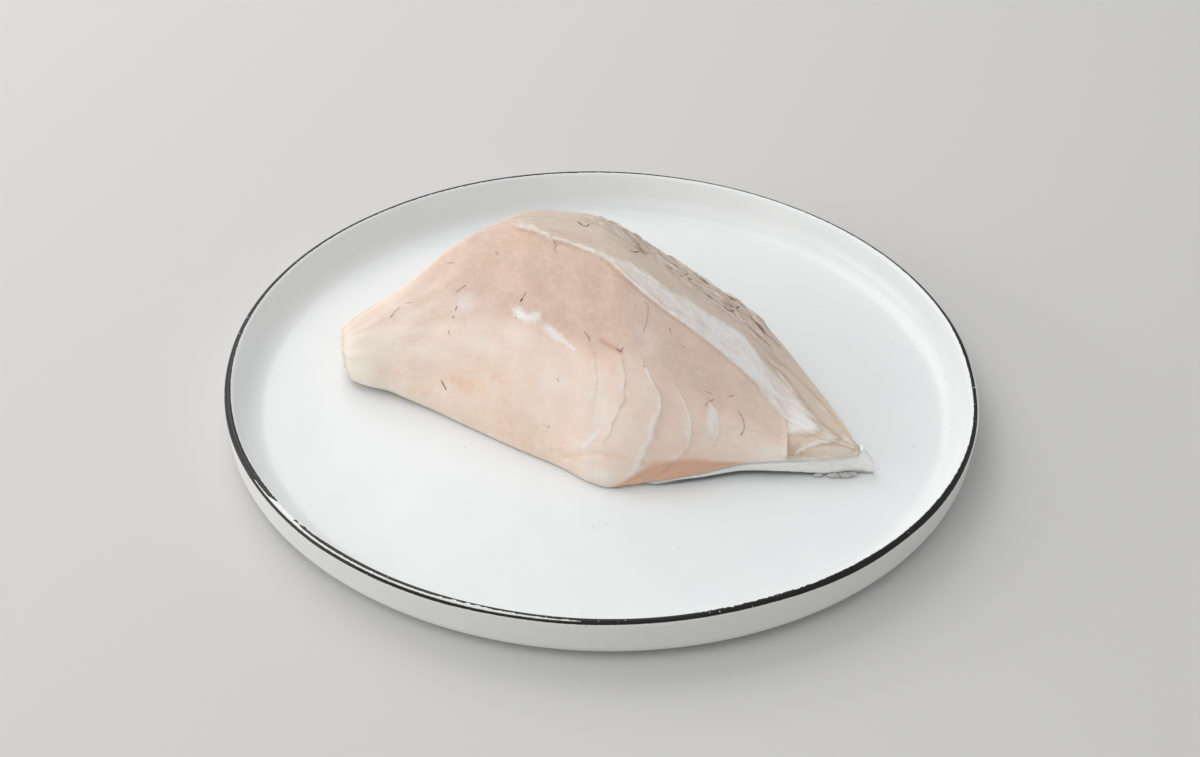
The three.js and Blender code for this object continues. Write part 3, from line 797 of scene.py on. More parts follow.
face = side == FRONT
strip = side == STRIP
on_face = np.where(face, 1, 0)
face_length = np.linalg.norm(skin_point(x, 0 * x + 0.999) - skin_point(x, 0 * x), axis=1)
strip_length = np.linalg.norm(skin_point(x, 0 * x + 1.999) - skin_point(x, 0 * x + 1), axis=1)
across = np.where(q < 1, (q - 1) * face_length, (q - 1) * strip_length)
relief = np.zeros(len(q))
rim = np.zeros(len(q))
deeper = np.zeros(len(q))
for number, flake in enumerate(FLAKES):
    stray = 0.4 * wander(across / 2.4, 0 * q, 10 + number) + 0.2 * wander(across / 0.9, 0 * q, 15 + number)
    past = station - flake["station"] + stray
    start, end = flake["shown"]
    shown = smooth(start - 0.05, start + 0.05, q) * (1 - smooth(end - 0.1, end, q)) * on_face
    ragged = 0.8 + 0.4 * wander(across / 2, station / 4, 20 + number)
    step = smooth(0, EDGE_WIDTH, past) * np.exp(-np.maximum(past - EDGE_WIDTH, 0) / flake["run"])
    relief -= flake["height"] * ragged * shown * step
    relief += LIP_OVER_FLAKE * flake["height"] * shown * np.exp(-(past / 2)**2) * (past < 0)
    reach = 1.5 + 0.8 * wander(across / 3.5, 0 * q, 30 + number)
    behind_edge = np.where(past < 0.2, np.exp(-((past - 0.2) / reach)**2), np.exp(-((past - 0.2) / 0.35)**2))
    rim = np.maximum(rim, flake["rim"] * shown * behind_edge)
    deeper += flake["deeper"] * smooth(-0.2, 1.2, past) * on_face

# The same flakes were cut through at the back, where they show as plainer bows
past_back_flake = np.full(len(q), 99.0)
on_back = smooth(2.08, 2.35, q) * (1 - smooth(2.8, 3, q)) * smooth(-92, -78, x) * (1 - smooth(64, 76, x))
on_back = np.where(side == BACK, on_back, 0)
for number, flake_x in enumerate(BACK_FLAKES):
    bow = BACK_BOW * np.sin(np.pi * np.clip(q - 2, 0, 1)) + 0.9 * wander(6 * q, 0 * q, 60 + number)
    past = x - flake_x - bow
    past_back_flake = np.where(np.abs(past) < np.abs(past_back_flake), past, past_back_flake)
    step = smooth(0, BACK_STEP_WIDTH, past) * np.exp(-np.maximum(past - BACK_STEP_WIDTH, 0) / BACK_RUN)
    relief -= BACK_STEP * on_back * step
rim = np.maximum(rim, 0.8 * on_back * np.exp(-((past_back_flake + 0.3) / 0.7)**2))

above_knee = smooth(knee_q(x) - 0.04, knee_q(x) + 0.05, q) * on_face
knee_shown = smooth(-88, -76, x) * (1 - smooth(-6, 4, x))
relief -= KNEE_STEP * above_knee * (1 - smooth(0, 0.3, q - knee_q(x))) * knee_shown
relief -= FOLD_DEPTH * np.exp(-(low_fold / 1.4)**2) * on_face
crease_shown = smooth(3, 7, x) * (1 - smooth(48, 56, x))
under_crease = (1 - smooth(crease_q(x) - 0.03, crease_q(x) + 0.012, q)) * on_face * crease_shown
relief -= CREASE_STEP * under_crease * smooth(0, 0.04, q)

past_muscle = np.where(face, smooth(MUSCLE_END_X, MUSCLE_END_X + 0.5, x), smooth(55, 75, x))
past_muscle *= (1 - smooth(88, 93, x)) * (face | strip)
torn_edge = 0.5 * wander(x / 3, across / 1.5, 43)
nest_depth = sum(drop * (1 - smooth(-0.6, 0.6, nest + torn_edge)) for drop, nest in zip(NEST_DROPS, nests))
relief -= past_muscle * nest_depth * np.where(face, 1, 1 - smooth(1.4, 1.9, q))

rim_shown = smooth(-38, -32, x) * (1 - smooth(64, 67, x))
crinkle = 0.6 * wander(x / 2.2, across / 1.2, 81) + 0.4 * wander(x / 0.9, across / 0.8, 82)
relief += RIM_HEIGHT * np.exp(-(septum_rim / 0.8)**2) * rim_shown * (1 + crinkle)
band = smooth(-0.8, 0.8, septum) * strip
relief += BAND_CRINKLE * crinkle * band
beside_band = smooth(-26, -18, x) * (1 - smooth(50, 62, x)) * strip
relief -= STRIP_GROOVE * np.exp(-((q - 1.16) / 0.09)**2) * beside_band

membrane = smooth(1.52, 1.75, q) * (1 - smooth(2.1, 2.35, q)) * smooth(-14, 4, x) * (1 - smooth(60, 72, x))
rough = wander(x / 3, across / 1.3, 41) + 0.6 * wander(x / 1.3, across / 0.7, 42)
relief += MEMBRANE_HEIGHT * rough * membrane

lobe_gap = 1 - smooth(0.36, 0.42, q)
nose_shown = 1 - smooth(-96, -84, x)
relief -= LOBE_STEP * lobe_gap * nose_shown * on_face

# %% Loin: applying the relief
LEAST_SHARE = 0.45
EDGE_ROUND_SHARE, EDGE_ROUND_MM = 0.07, 1.1
LOBE_BACK = 0.4
CAP_BULGE = 0.9
# How far one millimetre of relief moves a point along y and z, on each side of the section
SLOPES = np.array([(-0.45, 0.9), (-0.1, 1.0), (0.9, 0.3), (0.0, 0.0)])
at_foot = np.where(face, smooth(0, 0.08, q), 1)
undulation = 0.32 * wander(x / 13, q * 7, 51) + 0.14 * wander(x / 5, q * 17, 52)
undulation += 0.05 * wander(x / 3, q * 60, 53)
outside_under = np.where(side == UNDER, 0, 1) * smooth(0, 0.3, 4 - q)
moved = (relief + undulation * outside_under) * at_foot
formed = plain.copy()
formed[:, 1] += SLOPES[side, 0] * moved
formed[:, 2] += SLOPES[side, 1] * moved
lower_lobe = (1 - smooth(0.34, 0.42, q)) * on_face + np.where(q > 2.6, 1, 0)
formed[:, 0] += LOBE_BACK * lower_lobe * (1 - smooth(0, 9, x - NOSE_X))
cap_bulge = CAP_BULGE * (1 - (size / NOSE_SHARE)**2) * (size < NOSE_SHARE) * (ring <= CAP_RINGS)
formed[:, 0] -= cap_bulge
# The front edge is rounded off where the flesh itself lies on the plate
rounded = np.where(face, np.clip(1 - q / EDGE_ROUND_SHARE, 0, 1), 0) * (1 - smooth(-4, 12, x))
formed[:, 1] += EDGE_ROUND_MM * (1 - np.sqrt(1 - rounded**2))
foot_z = mix(layer_top(x, front_y(x)) + REST_GAP, lowest_z(x), 1 - smooth(0, 14, x))
formed[:, 2] = np.where(face, np.maximum(formed[:, 2], mix(foot_z, plain[:, 2], LEAST_SHARE)), formed[:, 2])
move_to(flesh_mesh, formed * MM)
face_out(flesh_mesh)
print("loin form from", (formed.min(0)).round(1), "to", (formed.max(0)).round(1), "mm")

# %% [markdown]
# ## Where the flesh is pale, warm, white or streaked
# Flesh is paler where it is dry or thin and deeper where the light sinks in, and each flake to the
# right is a shade deeper. Clouds of pale and of warm flesh lie on it, and white tissue at the flake
# edges, along the ridge and in torn patches. Some of it is painted light and shade: a few pale
# spots, the paler nose and the paler right end stand for light, and the grooves, a fold and the
# turned-in flesh are darkened as painted shade. A painter would block these in softly first. The
# same is done here with numbers on the vertices, and the material then tears their edges with noise.

# %% Loin: fields of colour
# Some pale spots are painted light: those at (-82, 0.66) and (-45, 0.52) are painted highlights along the nose
# ridge and the knee, and those at (-84, 0.5) and (60, 0.2) lighten places that lie in shade. The rest are clouds
# of the flesh's own paler colour.
# Soft spots: x, q, reach along x in mm, reach in q, strength
PALE_AND_LIT_SPOTS = [
    (-71, 0.74, 7, 0.04, 0.6), (-52, 0.7, 5, 0.045, 0.75), (-47, 0.61, 8, 0.05, 0.4),
    (-82, 0.66, 9, 0.06, 0.3), (-45, 0.52, 14, 0.045, 0.5), (-18, 0.48, 10, 0.09, 0.5),
    (-21, 0.31, 8, 0.07, 0.3), (0, 0.42, 5, 0.13, 0.55), (-5, 0.22, 5, 0.07, 0.45), (1, 0.1, 8, 0.07, 0.8),
    (17, 0.78, 5, 0.08, 0.35), (12, 0.3, 4, 0.1, 0.35), (-62, 0.42, 9, 0.05, 0.3), (60, 0.2, 8, 0.12, 0.4),
    (-84, 0.5, 7, 0.12, 0.5), (-64, 0.6, 14, 0.035, 0.5), (-30, 0.58, 9, 0.04, 0.5), (-24, 0.4, 6, 0.05, 0.35)]
WARM_SPOTS = [
    (-52, 0.3, 9, 0.055, 0.75), (-76, 0.26, 8, 0.05, 0.55), (-26, 0.42, 3, 0.06, 0.5),
    (-36, 0.12, 14, 0.07, 0.35), (-64, 0.16, 8, 0.07, 0.4), (-2, 0.62, 8, 0.04, 0.3), (30, 0.1, 10, 0.06, 0.3),
    (-38, 0.38, 4, 0.03, 0.5), (-45, 0.86, 12, 0.06, 0.25), (-14, 0.14, 6, 0.03, 0.4),
    (-33, 0.95, 6, 0.05, 0.35), (79, 0.15, 9, 0.16, 0.9), (-70, 0.36, 12, 0.05, 0.4),
    (57, 0.4, 13, 0.3, 0.25), (-78, 0.38, 8, 0.08, 0.35)]


def spots(listed):
    """The strongest of the listed soft spots at each vertex of the face."""
    strongest = np.zeros(len(q))
    for at_x, at_q, reach_x, reach_q, strength in listed:
        spot = strength * np.exp(-((x - at_x) / reach_x)**2 - ((q - at_q) / reach_q)**2)
        strongest = np.maximum(strongest, spot)
    return strongest * on_face


upper_tone = through([(-99, 0.2), (-84, 0.22), (-70, 0.3), (-55, 0.5), (-45, 0.62), (-30, 0.75), (0, 0.75),
                      (15, 0.62), (30, 0.56), (50, 0.45), (67, 0.3)])
# From x 50 to the muscle's end the lower face is made paler than its neighbours, as painted light where the
# lamps leave it dim
lower_tone = through([(-99, 0.04), (-60, 0.18), (-20, 0.34), (-8, 0.27), (5, 0.18), (30, 0.06), (50, -0.15),
                      (67, -0.27)])
knee_width = np.where(x < 2, 0.05, 0.12)
above = smooth(knee_q(x) - knee_width, knee_q(x) + knee_width, q)
tone = mix(lower_tone(x) + deeper, upper_tone(x), above)
tone = np.where(face, tone, mix(upper_tone(x), 0.6, smooth(-60, -30, x)))
paint(flesh_mesh, "tone", tone)
paint(flesh_mesh, "pale_and_painted_light", spots(PALE_AND_LIT_SPOTS))
# The warm spots are the flesh's own colour; along the low fold the same warm colour is painted shade in the
# crease
paint(flesh_mesh, "warm_and_fold_shade", np.maximum(spots(WARM_SPOTS), 0.7 * np.exp(-(low_fold / 0.8)**2) * on_face))
paint(flesh_mesh, "red", 0.8 * np.exp(-(red_smear / 0.8)**2) * on_face)

white = np.maximum(0.8 * np.exp(-(torn_streak / 0.8)**2), 0.75 * np.exp(-(low_streak / 1.3)**2))
white = np.maximum(white, 0.85 * np.exp(-((x - 39.6) / 1.9)**2 - ((q - 0.47) / 0.11)**2) * on_face)
for patch in torn:
    white = np.maximum(white, 0.85 * smooth(-3, 2.4, patch))
# The white along the septum rim is white membrane, brightened further as a painted highlight for the glints of
# its wet crinkles
septum_rim_white_and_highlight = through([(-38, 0.6), (0, 0.62), (12, 0.75), (32, 0.85), (45, 0.95), (60, 0.85), (67, 0.6)])
white = np.maximum(white, septum_rim_white_and_highlight(x) * np.exp(-(septum_rim / 1.1)**2) * rim_shown)
band_strength = through([(-38, 0.65), (-25, 0.52), (-10, 0.56), (3, 0.66), (15, 0.68), (32, 0.68), (42, 0.8),
                         (52, 0.86), (57, 0.92), (61, 0.88), (67, 0.55)])
white = np.maximum(white, band_strength(x) * smooth(-1.6, 2, septum))
wedge_strength = through([(57, 0), (58.5, 0.6), (66, 0.6), (72, 0.7), (79, 0.8)])
wedge = np.where(face, smooth(MUSCLE_END_X, MUSCLE_END_X + 0.6, x), 1)
white = np.maximum(white, wedge_strength(x) * smooth(-0.9, 1.3, nests[0]) * wedge)
white = np.maximum(white, 0.6 * np.exp(-((x - 83) / 3)**2 - ((q - 1.06) / 0.12)**2))
for nest, upper, lower in zip(nests, (0.65, 0.45, 0.35), (0.5, 0.75, 0.35)):
    limb = np.where(q > 1, upper * smooth(58, 64, x), lower * smooth(69, 71, x))
    white = np.maximum(white, limb * np.exp(-(nest / 1.1)**2))
paint(flesh_mesh, "white", white)
paint(flesh_mesh, "rim", rim)

# Painted shade: grooves beside the nested layers, below the septum rim, behind the back flakes and along the
# fold near x 57 are coloured darker where shade falls in them; the soft patch near x 71 is the flesh's own tan
groove_shade_and_tan = np.zeros(len(q))
for nest, strength in zip(nests, (0.35, 0.6, 0.4)):
    shown = np.where(q > 1, smooth(58, 66, x), smooth(69, 71, x))
    groove_shade_and_tan = np.maximum(groove_shade_and_tan, strength * np.exp(-((nest + 1.2) / 0.9)**2) * shown)
groove_shade_and_tan = np.maximum(groove_shade_and_tan, 0.5 * np.exp(-((septum_rim - 1.6) / 1.0)**2) * rim_shown * on_face)
tan_edge = 0.75 * np.exp(-((x - 71) / 6)**2 - ((q - 0.36) / 0.26)**2)
groove_shade_and_tan = np.maximum(groove_shade_and_tan, tan_edge * on_face * (x > MUSCLE_END_X))
groove_shade_and_tan = np.maximum(groove_shade_and_tan, 0.35 * on_back * np.exp(-((past_back_flake - 0.7) / 0.6)**2))
dark_fold = distance_to([(57.5, 1.40), (57.6, 1.23), (57.5, 1.10)])
groove_shade_and_tan = np.maximum(groove_shade_and_tan, 0.9 * np.exp(-(dark_fold / 0.4)**2))
paint(flesh_mesh, "groove_shade_and_tan", groove_shade_and_tan)
# The flesh turned in under the crease is coloured a darker orange: partly its own warmth, partly painted shade
# where it faces away from the light
paint(flesh_mesh, "turned_in_warmth_and_shade", under_crease)
back_strip = np.where(strip, smooth(1.02, 1.2, q) * smooth(-40, -30, x), 0)
paint(flesh_mesh, "back_strip", np.where(side == BACK, 1 - 0.5 * smooth(2, 2.3, q), back_strip))
paint(flesh_mesh, "membrane", membrane * (1 - 0.5 * smooth(1.97, 2.15, q)))
# The nose is paler: partly its own clear, thin flesh, partly painted light that lifts its front where it faces
# away from the lamps
paint(flesh_mesh, "clear_nose_and_painted_light", (1 - smooth(-97, -72, x)) * mix(1, 0.3, smooth(0.4, 0.8, q)))
right_end = np.where(face, smooth(MUSCLE_END_X - 0.2, MUSCLE_END_X + 0.6, x), smooth(50, 76, x))
paint(flesh_mesh, "nested", np.where(face | strip, right_end, 0))
grain = np.stack([np.where(face, station, x), across, 0 * q], 1)
paint_vector(flesh_mesh, "grain", grain * MM)

# %% [markdown]
# ## Raw fish flesh
# Raw white fish is translucent: light goes in, scatters between the fibres and comes out softened
# and warmer, which is what subsurface scattering does. Its colour drifts in soft clouds a
# centimetre wide with a faint mottling in them. White tissue is not a flat coat but torn and
# threadbare, so a noise decides where each stored share of white is enough to show.

# %% Material: moist raw fish
CLOUD_MM = 11
HUE_CLOUD_MM = 8
MOTTLE_MM = 2.6
WISP_MM = 7
TEAR_MM = 1.3
STREAK_MM = 1.5
STREAK_STRETCH = 6
SHEET_MM = 3.5
SCATTER_MM = 4

fish, tree = new_material("moist_raw_white_fish")
place = add(tree, "ShaderNodeTexCoord").outputs["Object"]
grain_place = add(tree, "ShaderNodeAttribute", attribute_name="grain").outputs["Vector"]


def skin_value(name):
    """One of the numbers stored on the vertices."""
    return add(tree, "ShaderNodeAttribute", attribute_name=name).outputs["Fac"]


def noise(vector, size_mm, detail=3, **sockets):
    """A cloud noise whose bumps are about size_mm wide."""
    return add(tree, "ShaderNodeTexNoise", {"Vector": vector, "Scale": 1 / (size_mm * MM), "Detail": detail,
                                            **sockets}).outputs["Fac"]


def spread(value, start, end, low=0, high=1, kind="SMOOTHSTEP"):
    """The value brought from the range start to end into the range low to high."""
    return add(tree, "ShaderNodeMapRange", {"Value": value, "From Min": start, "From Max": end, "To Min": low,
                                            "To Max": high}, interpolation_type=kind).outputs[0]


def maths(operation, *values):
    """The result of a sum, product or other operation on numbers or outputs."""
    return add(tree, "ShaderNodeMath", dict(enumerate(values)), operation=operation).outputs[0]


clouds = noise(place, CLOUD_MM, 3)
mottle = noise(place, MOTTLE_MM, 4)
shifted = add(tree, "ShaderNodeMapping", {"Vector": place, "Location": (0.4, 0.1, 0.2)})
hue_clouds = noise(shifted.outputs[0], HUE_CLOUD_MM, 3)
wisps = noise(place, WISP_MM, 5, Distortion=1.5, Roughness=0.6)
tears = noise(grain_place, TEAR_MM, 4, Roughness=0.65)
along_streaks = add(tree, "ShaderNodeMapping", {"Vector": grain_place, "Scale": (1 / STREAK_STRETCH, 1, 1)})
streaks = noise(along_streaks.outputs[0], STREAK_MM, 4, Roughness=0.6)
along_sheets = add(tree, "ShaderNodeMapping", {"Vector": grain_place, "Scale": (0.4, 1, 1)})
sheets = noise(along_sheets.outputs[0], SHEET_MM, 4, Distortion=1.2)

depth = maths("ADD", skin_value("tone"), spread(clouds, 0.3, 0.7, -0.1, 0.1, "LINEAR"))
depth = maths("ADD", depth, spread(mottle, 0.3, 0.7, -0.05, 0.05, "LINEAR"))
flesh_colour = add(tree, "ShaderNodeValToRGB", {"Fac": depth})
ramp = flesh_colour.color_ramp
ramp.elements[0].position, ramp.elements[0].color = 0, to_linear("#f9ece1")
ramp.elements[1].position, ramp.elements[1].color = 1, to_linear("#d6b6a3")
for position, shade in ((0.3, "#f3dccb"), (0.6, "#e4cab8")):
    ramp.elements.new(position).color = to_linear(shade)
colour = flesh_colour.outputs["Color"]

# White tissue shows where its stored share, shaken by tears and by thicker sheets, is high enough
shaken = maths("MULTIPLY_ADD", maths("SUBTRACT", tears, 0.5), 0.5, skin_value("white"))
shaken = maths("MULTIPLY_ADD", maths("SUBTRACT", sheets, 0.5), 1.1, shaken)
tissue = spread(shaken, 0.12, 1.0)
rim_share = maths("MULTIPLY_ADD", maths("SUBTRACT", sheets, 0.5), 1.8, skin_value("rim"))
streaked = maths("MULTIPLY", spread(sheets, 0.35, 0.65), skin_value("back_strip"))
membrane = skin_value("membrane")
membrane_white = maths("MULTIPLY", spread(streaks, 0.52, 0.64), membrane)
membrane_dark = maths("MULTIPLY", spread(streaks, 0.48, 0.37), membrane)
thin_wisps = spread(maths("ABSOLUTE", maths("SUBTRACT", wisps, 0.5)), 0.035, 0, 0, 1)
pale_share = maths("MULTIPLY_ADD", thin_wisps, 0.3, spread(mottle, 0.35, 0.6, 0.6, 1.0))
# Of these, the groove, turned-in, pale and clear-nose layers carry painted shade or painted light, as noted
# where they are stored
LAYERS = [
    (spread(hue_clouds, 0.45, 0.7, 0, 0.22), "#f0d0c2"),
    (skin_value("nested"), "#e3d1bf"),
    (maths("MULTIPLY", skin_value("warm_and_fold_shade"), spread(mottle, 0.35, 0.6, 0.4, 0.9)), "#eec8a6"),
    (maths("MULTIPLY", skin_value("pale_and_painted_light"), pale_share), "#faf0e9"),
    (maths("MULTIPLY", thin_wisps, 0.22), "#faefe8"),
    (skin_value("back_strip"), "#dccab9"),
    (spread(rim_share, 0.2, 0.95, 0, 0.9), "#fdf0e9"),
    (skin_value("red"), "#cf9c90"),
    (skin_value("turned_in_warmth_and_shade"), "#e7baa1"),
    (maths("MULTIPLY", streaked, 0.3), "#e2d7cc"),
    (skin_value("groove_shade_and_tan"), "#c3a48c"),
    (skin_value("clear_nose_and_painted_light"), "#fdeee1"),
    (maths("MULTIPLY", membrane, 0.6), "#d6c2b2"),
    (membrane_dark, "#9b8178"),
    (membrane_white, "#ebe5e0"),
    (tissue, "#f8f5f2"),
]
for share, shade in LAYERS:
    blend = add(tree, "ShaderNodeMix", {SHARE: share, FIRST: colour, SECOND: to_linear(shade)},
                data_type="RGBA")
    colour = blend.outputs[MIXED]

fine_height = maths("MULTIPLY_ADD", tears, skin_value("white"), mottle)
flesh_bump = add(tree, "ShaderNodeBump", {"Height": fine_height, "Distance": 0.4 * MM, "Strength": 0.3})
shader = add(tree, "ShaderNodeBsdfPrincipled", {
    "Base Color": colour, "Roughness": spread(mottle, 0.3, 0.7, 0.45, 0.62), "IOR": 1.38,
    "Normal": flesh_bump.outputs["Normal"], "Subsurface Weight": 0.45, "Subsurface Radius": (1.0, 0.72, 0.55),
    "Subsurface Scale": SCATTER_MM * MM, "Coat Weight": 0.05, "Coat Roughness": 0.3})
add(tree, "ShaderNodeOutputMaterial", {"Surface": shader.outputs["BSDF"]})
loin_muscle = show(flesh_mesh, fish, "raw_fish_flesh", "loin_flesh")

# %% [markdown]
# ## The white layer underneath
# Under the muscle lies tough white tissue. Along the lower right edge it shows as a band, thin
# at first and several millimetres thick at the pointed end, where it rises to a little peak just
# past the flesh. It is made as the loin is, from a ball of rings, with a slightly ragged lower edge.

# %% White layer: form
LAYER_RINGS = 300
LAYER_POINTS = [14, 26, 8, 24]
LAYER_TUCK = 2.6
EDGE_ROUND = 0.16

layer_mesh, ring, in_ring = ball_of_rings("white_tissue_layer", LAYER_RINGS, sum(LAYER_POINTS))
side_start = np.cumsum([0] + LAYER_POINTS)
edge = np.searchsorted(side_start, in_ring, side="right") - 1
along = (in_ring - side_start[edge]) / np.array(LAYER_POINTS)[edge]
layer_stations = spread_stations(LAYER_RINGS, LAYER_START_X, LAYER_TIP_X, [(LAYER_PEAK_X, 5, 4), (60, 35, 1)])
lx = np.concatenate([[LAYER_START_X], layer_stations, [LAYER_TIP_X]])[ring]
tuck_front, tuck_back = 1 - smooth(13, 21, lx), 1 - smooth(81, 90, lx)
front = front_y(lx) + mix(-layer_proud(lx), LAYER_TUCK, tuck_front)
back_edge = back_y(lx) + mix(0.8, -LAYER_TUCK, tuck_back)
across = np.choose(edge, [0 * along, along, 1 + 0 * along, 1 - along])
up_share = np.choose(edge, [along, 1 + 0 * along, 1 - along, 0 * along])
inward = np.abs(up_share - 0.5) * 2
y = mix(front, back_edge, across)
y += np.where(edge == 0, EDGE_ROUND * front_thickness(lx) * inward**4, 0)
y += layer_lean(lx) * up_share * (1 - across)
z = mix(layer_bottom(lx, y), layer_top(lx, y), up_share)
opened = 0.35 + 0.65 * smooth(LAYER_START_X - 1, LAYER_START_X + 12, lx)
y = mix((front + back_edge) / 2, y, opened)
shows = smooth(18, 30, lx) * (across < 0.2)
ragged = 0.3 * wander(lx / 2.6, 0 * lx, 71) + 0.2 * wander(lx / 0.9, 0 * lx, 72)
z += np.where(z < layer_bottom(lx, y) + 1, np.maximum(ragged, -0.1), 0) * shows * (1 - up_share)
y += 0.18 * wander(lx / 7, up_share * 3, 73) * (edge == 0) * shows
pole = (ring == 0) | (ring == LAYER_RINGS + 1)
y = np.where(pole, (front + back_edge) / 2, y)
z = np.where(pole, (layer_bottom(lx, y) + layer_top(lx, y)) / 2, z)
move_to(layer_mesh, np.stack([lx, y, z], 1) * MM)
paint_vector(layer_mesh, "grain", np.stack([lx, y, z * 3], 1) * MM)
# Painted shade: the underside and the lowest millimetre of the lifted front edge are coloured dark where the gap
# under the layer lies in shade
lifted = 1 - smooth(78, 86, lx)
painted_edge_shade = (1 - smooth(0.5, 1.0, z - layer_bottom(lx, y))) * smooth(8, 34, lx) * lifted
painted_shade_and_shred_tan = np.choose(edge, [painted_edge_shade, 0 * lx, 0 * lx, smooth(2, 20, lx) * lifted])
paint(layer_mesh, "painted_shade_and_shred_tan", painted_shade_and_shred_tan)
face_out(layer_mesh)

# %% Material: white connective tissue
# Tough white tissue is fine threads that lie along the loin. Its underside and the lowest millimetre
# of its lifted front edge are painted dark, as painted shade in the gap under it
THREAD_MM = 1.1

tissue_material, tree = new_material("white_connective_tissue")
grain_place = add(tree, "ShaderNodeAttribute", attribute_name="grain").outputs["Vector"]
along_threads = add(tree, "ShaderNodeMapping", {"Vector": grain_place, "Scale": (1 / STREAK_STRETCH, 1, 1)})
threads = noise(along_threads.outputs[0], THREAD_MM)
whitish = add(tree, "ShaderNodeValToRGB", {"Fac": threads})
whitish.color_ramp.elements[0].position, whitish.color_ramp.elements[0].color = 0.3, to_linear("#f3f0ea")
whitish.color_ramp.elements[1].position, whitish.color_ramp.elements[1].color = 0.6, to_linear("#fdfcf9")
painted_shade_mix = add(tree, "ShaderNodeMix", {SHARE: skin_value("painted_shade_and_shred_tan"), FIRST: whitish.outputs["Color"],
                                       SECOND: to_linear("#4d443d")}, data_type="RGBA")
tissue_bump = add(tree, "ShaderNodeBump", {"Height": threads, "Distance": 0.4 * MM, "Strength": 0.3})
shader = add(tree, "ShaderNodeBsdfPrincipled", {
    "Base Color": painted_shade_mix.outputs[MIXED], "Roughness": 0.42, "IOR": 1.4,
    "Normal": tissue_bump.outputs["Normal"], "Subsurface Weight": 0.35,
    "Subsurface Radius": (1.0, 0.8, 0.7), "Subsurface Scale": SCATTER_MM * MM})
add(tree, "ShaderNodeOutputMaterial", {"Surface": shader.outputs["BSDF"]})
white_tissue_layer = show(layer_mesh, tissue_material, "connective_tissue", "white_underlayer")

# %% [markdown]
# ## Loose shreds
# The knife left a few wet shreds of tissue hanging from the layer's lower edge near its point. Each
# is a small ball pressed flat, and they share the layer's material.

# %% Loose shreds: flattened balls
# Place, and half sizes along x, y and z, in mm
SHREDS = [((78.8, -44.9, 5.5), (1.8, 0.9, 0.5)), ((84.5, -44.9, 5.5), (2.6, 1.2, 0.55)),
          ((88.7, -44.7, 5.6), (2.8, 1.2, 0.6)), ((91.5, -44.0, 5.6), (1.7, 1.0, 0.5))]

bm = bmesh.new()
for place_mm, half_sizes in SHREDS:
    flattened = Matrix.Translation(Vector(place_mm) * MM) @ Matrix.Diagonal((*(Vector(half_sizes) * MM), 1))
    bmesh.ops.create_icosphere(bm, subdivisions=3, radius=1, matrix=flattened)
shred_mesh = bpy.data.meshes.new("loose_shreds")
bm.to_mesh(shred_mesh)
bm.free()
shred_places = places(shred_mesh) / MM
shred_places[:, 1] += 0.3 * wander(shred_places[:, 0], 0 * shred_places[:, 0], 91)
shred_places[:, 2] += 0.12 * wander(shred_places[:, 0] * 1.4, shred_places[:, 1] * 2, 92)
move_to(shred_mesh, shred_places * MM)
shred_mesh.shade_smooth()
paint_vector(shred_mesh, "grain", places(shred_mesh))
# The shreds take part of the same dark colour, as their own darker tan
paint(shred_mesh, "painted_shade_and_shred_tan", np.full(len(shred_places), 0.42))
loose_shreds = show(shred_mesh, tissue_material, "connective_tissue")

# %% [markdown]
# ## Cut vessels
# Fine dark marks lie on the flesh where small blood vessels were cut. Each is a tapered thread a
# quarter of a millimetre wide, so it is modelled: a small ball is stretched into a sliver for each
# stretch of the vessel and laid on the surface, whose nearest point and slope say how it lies.
# Some are dark with dried blood and others barely tinted, so each carries its own darkness.

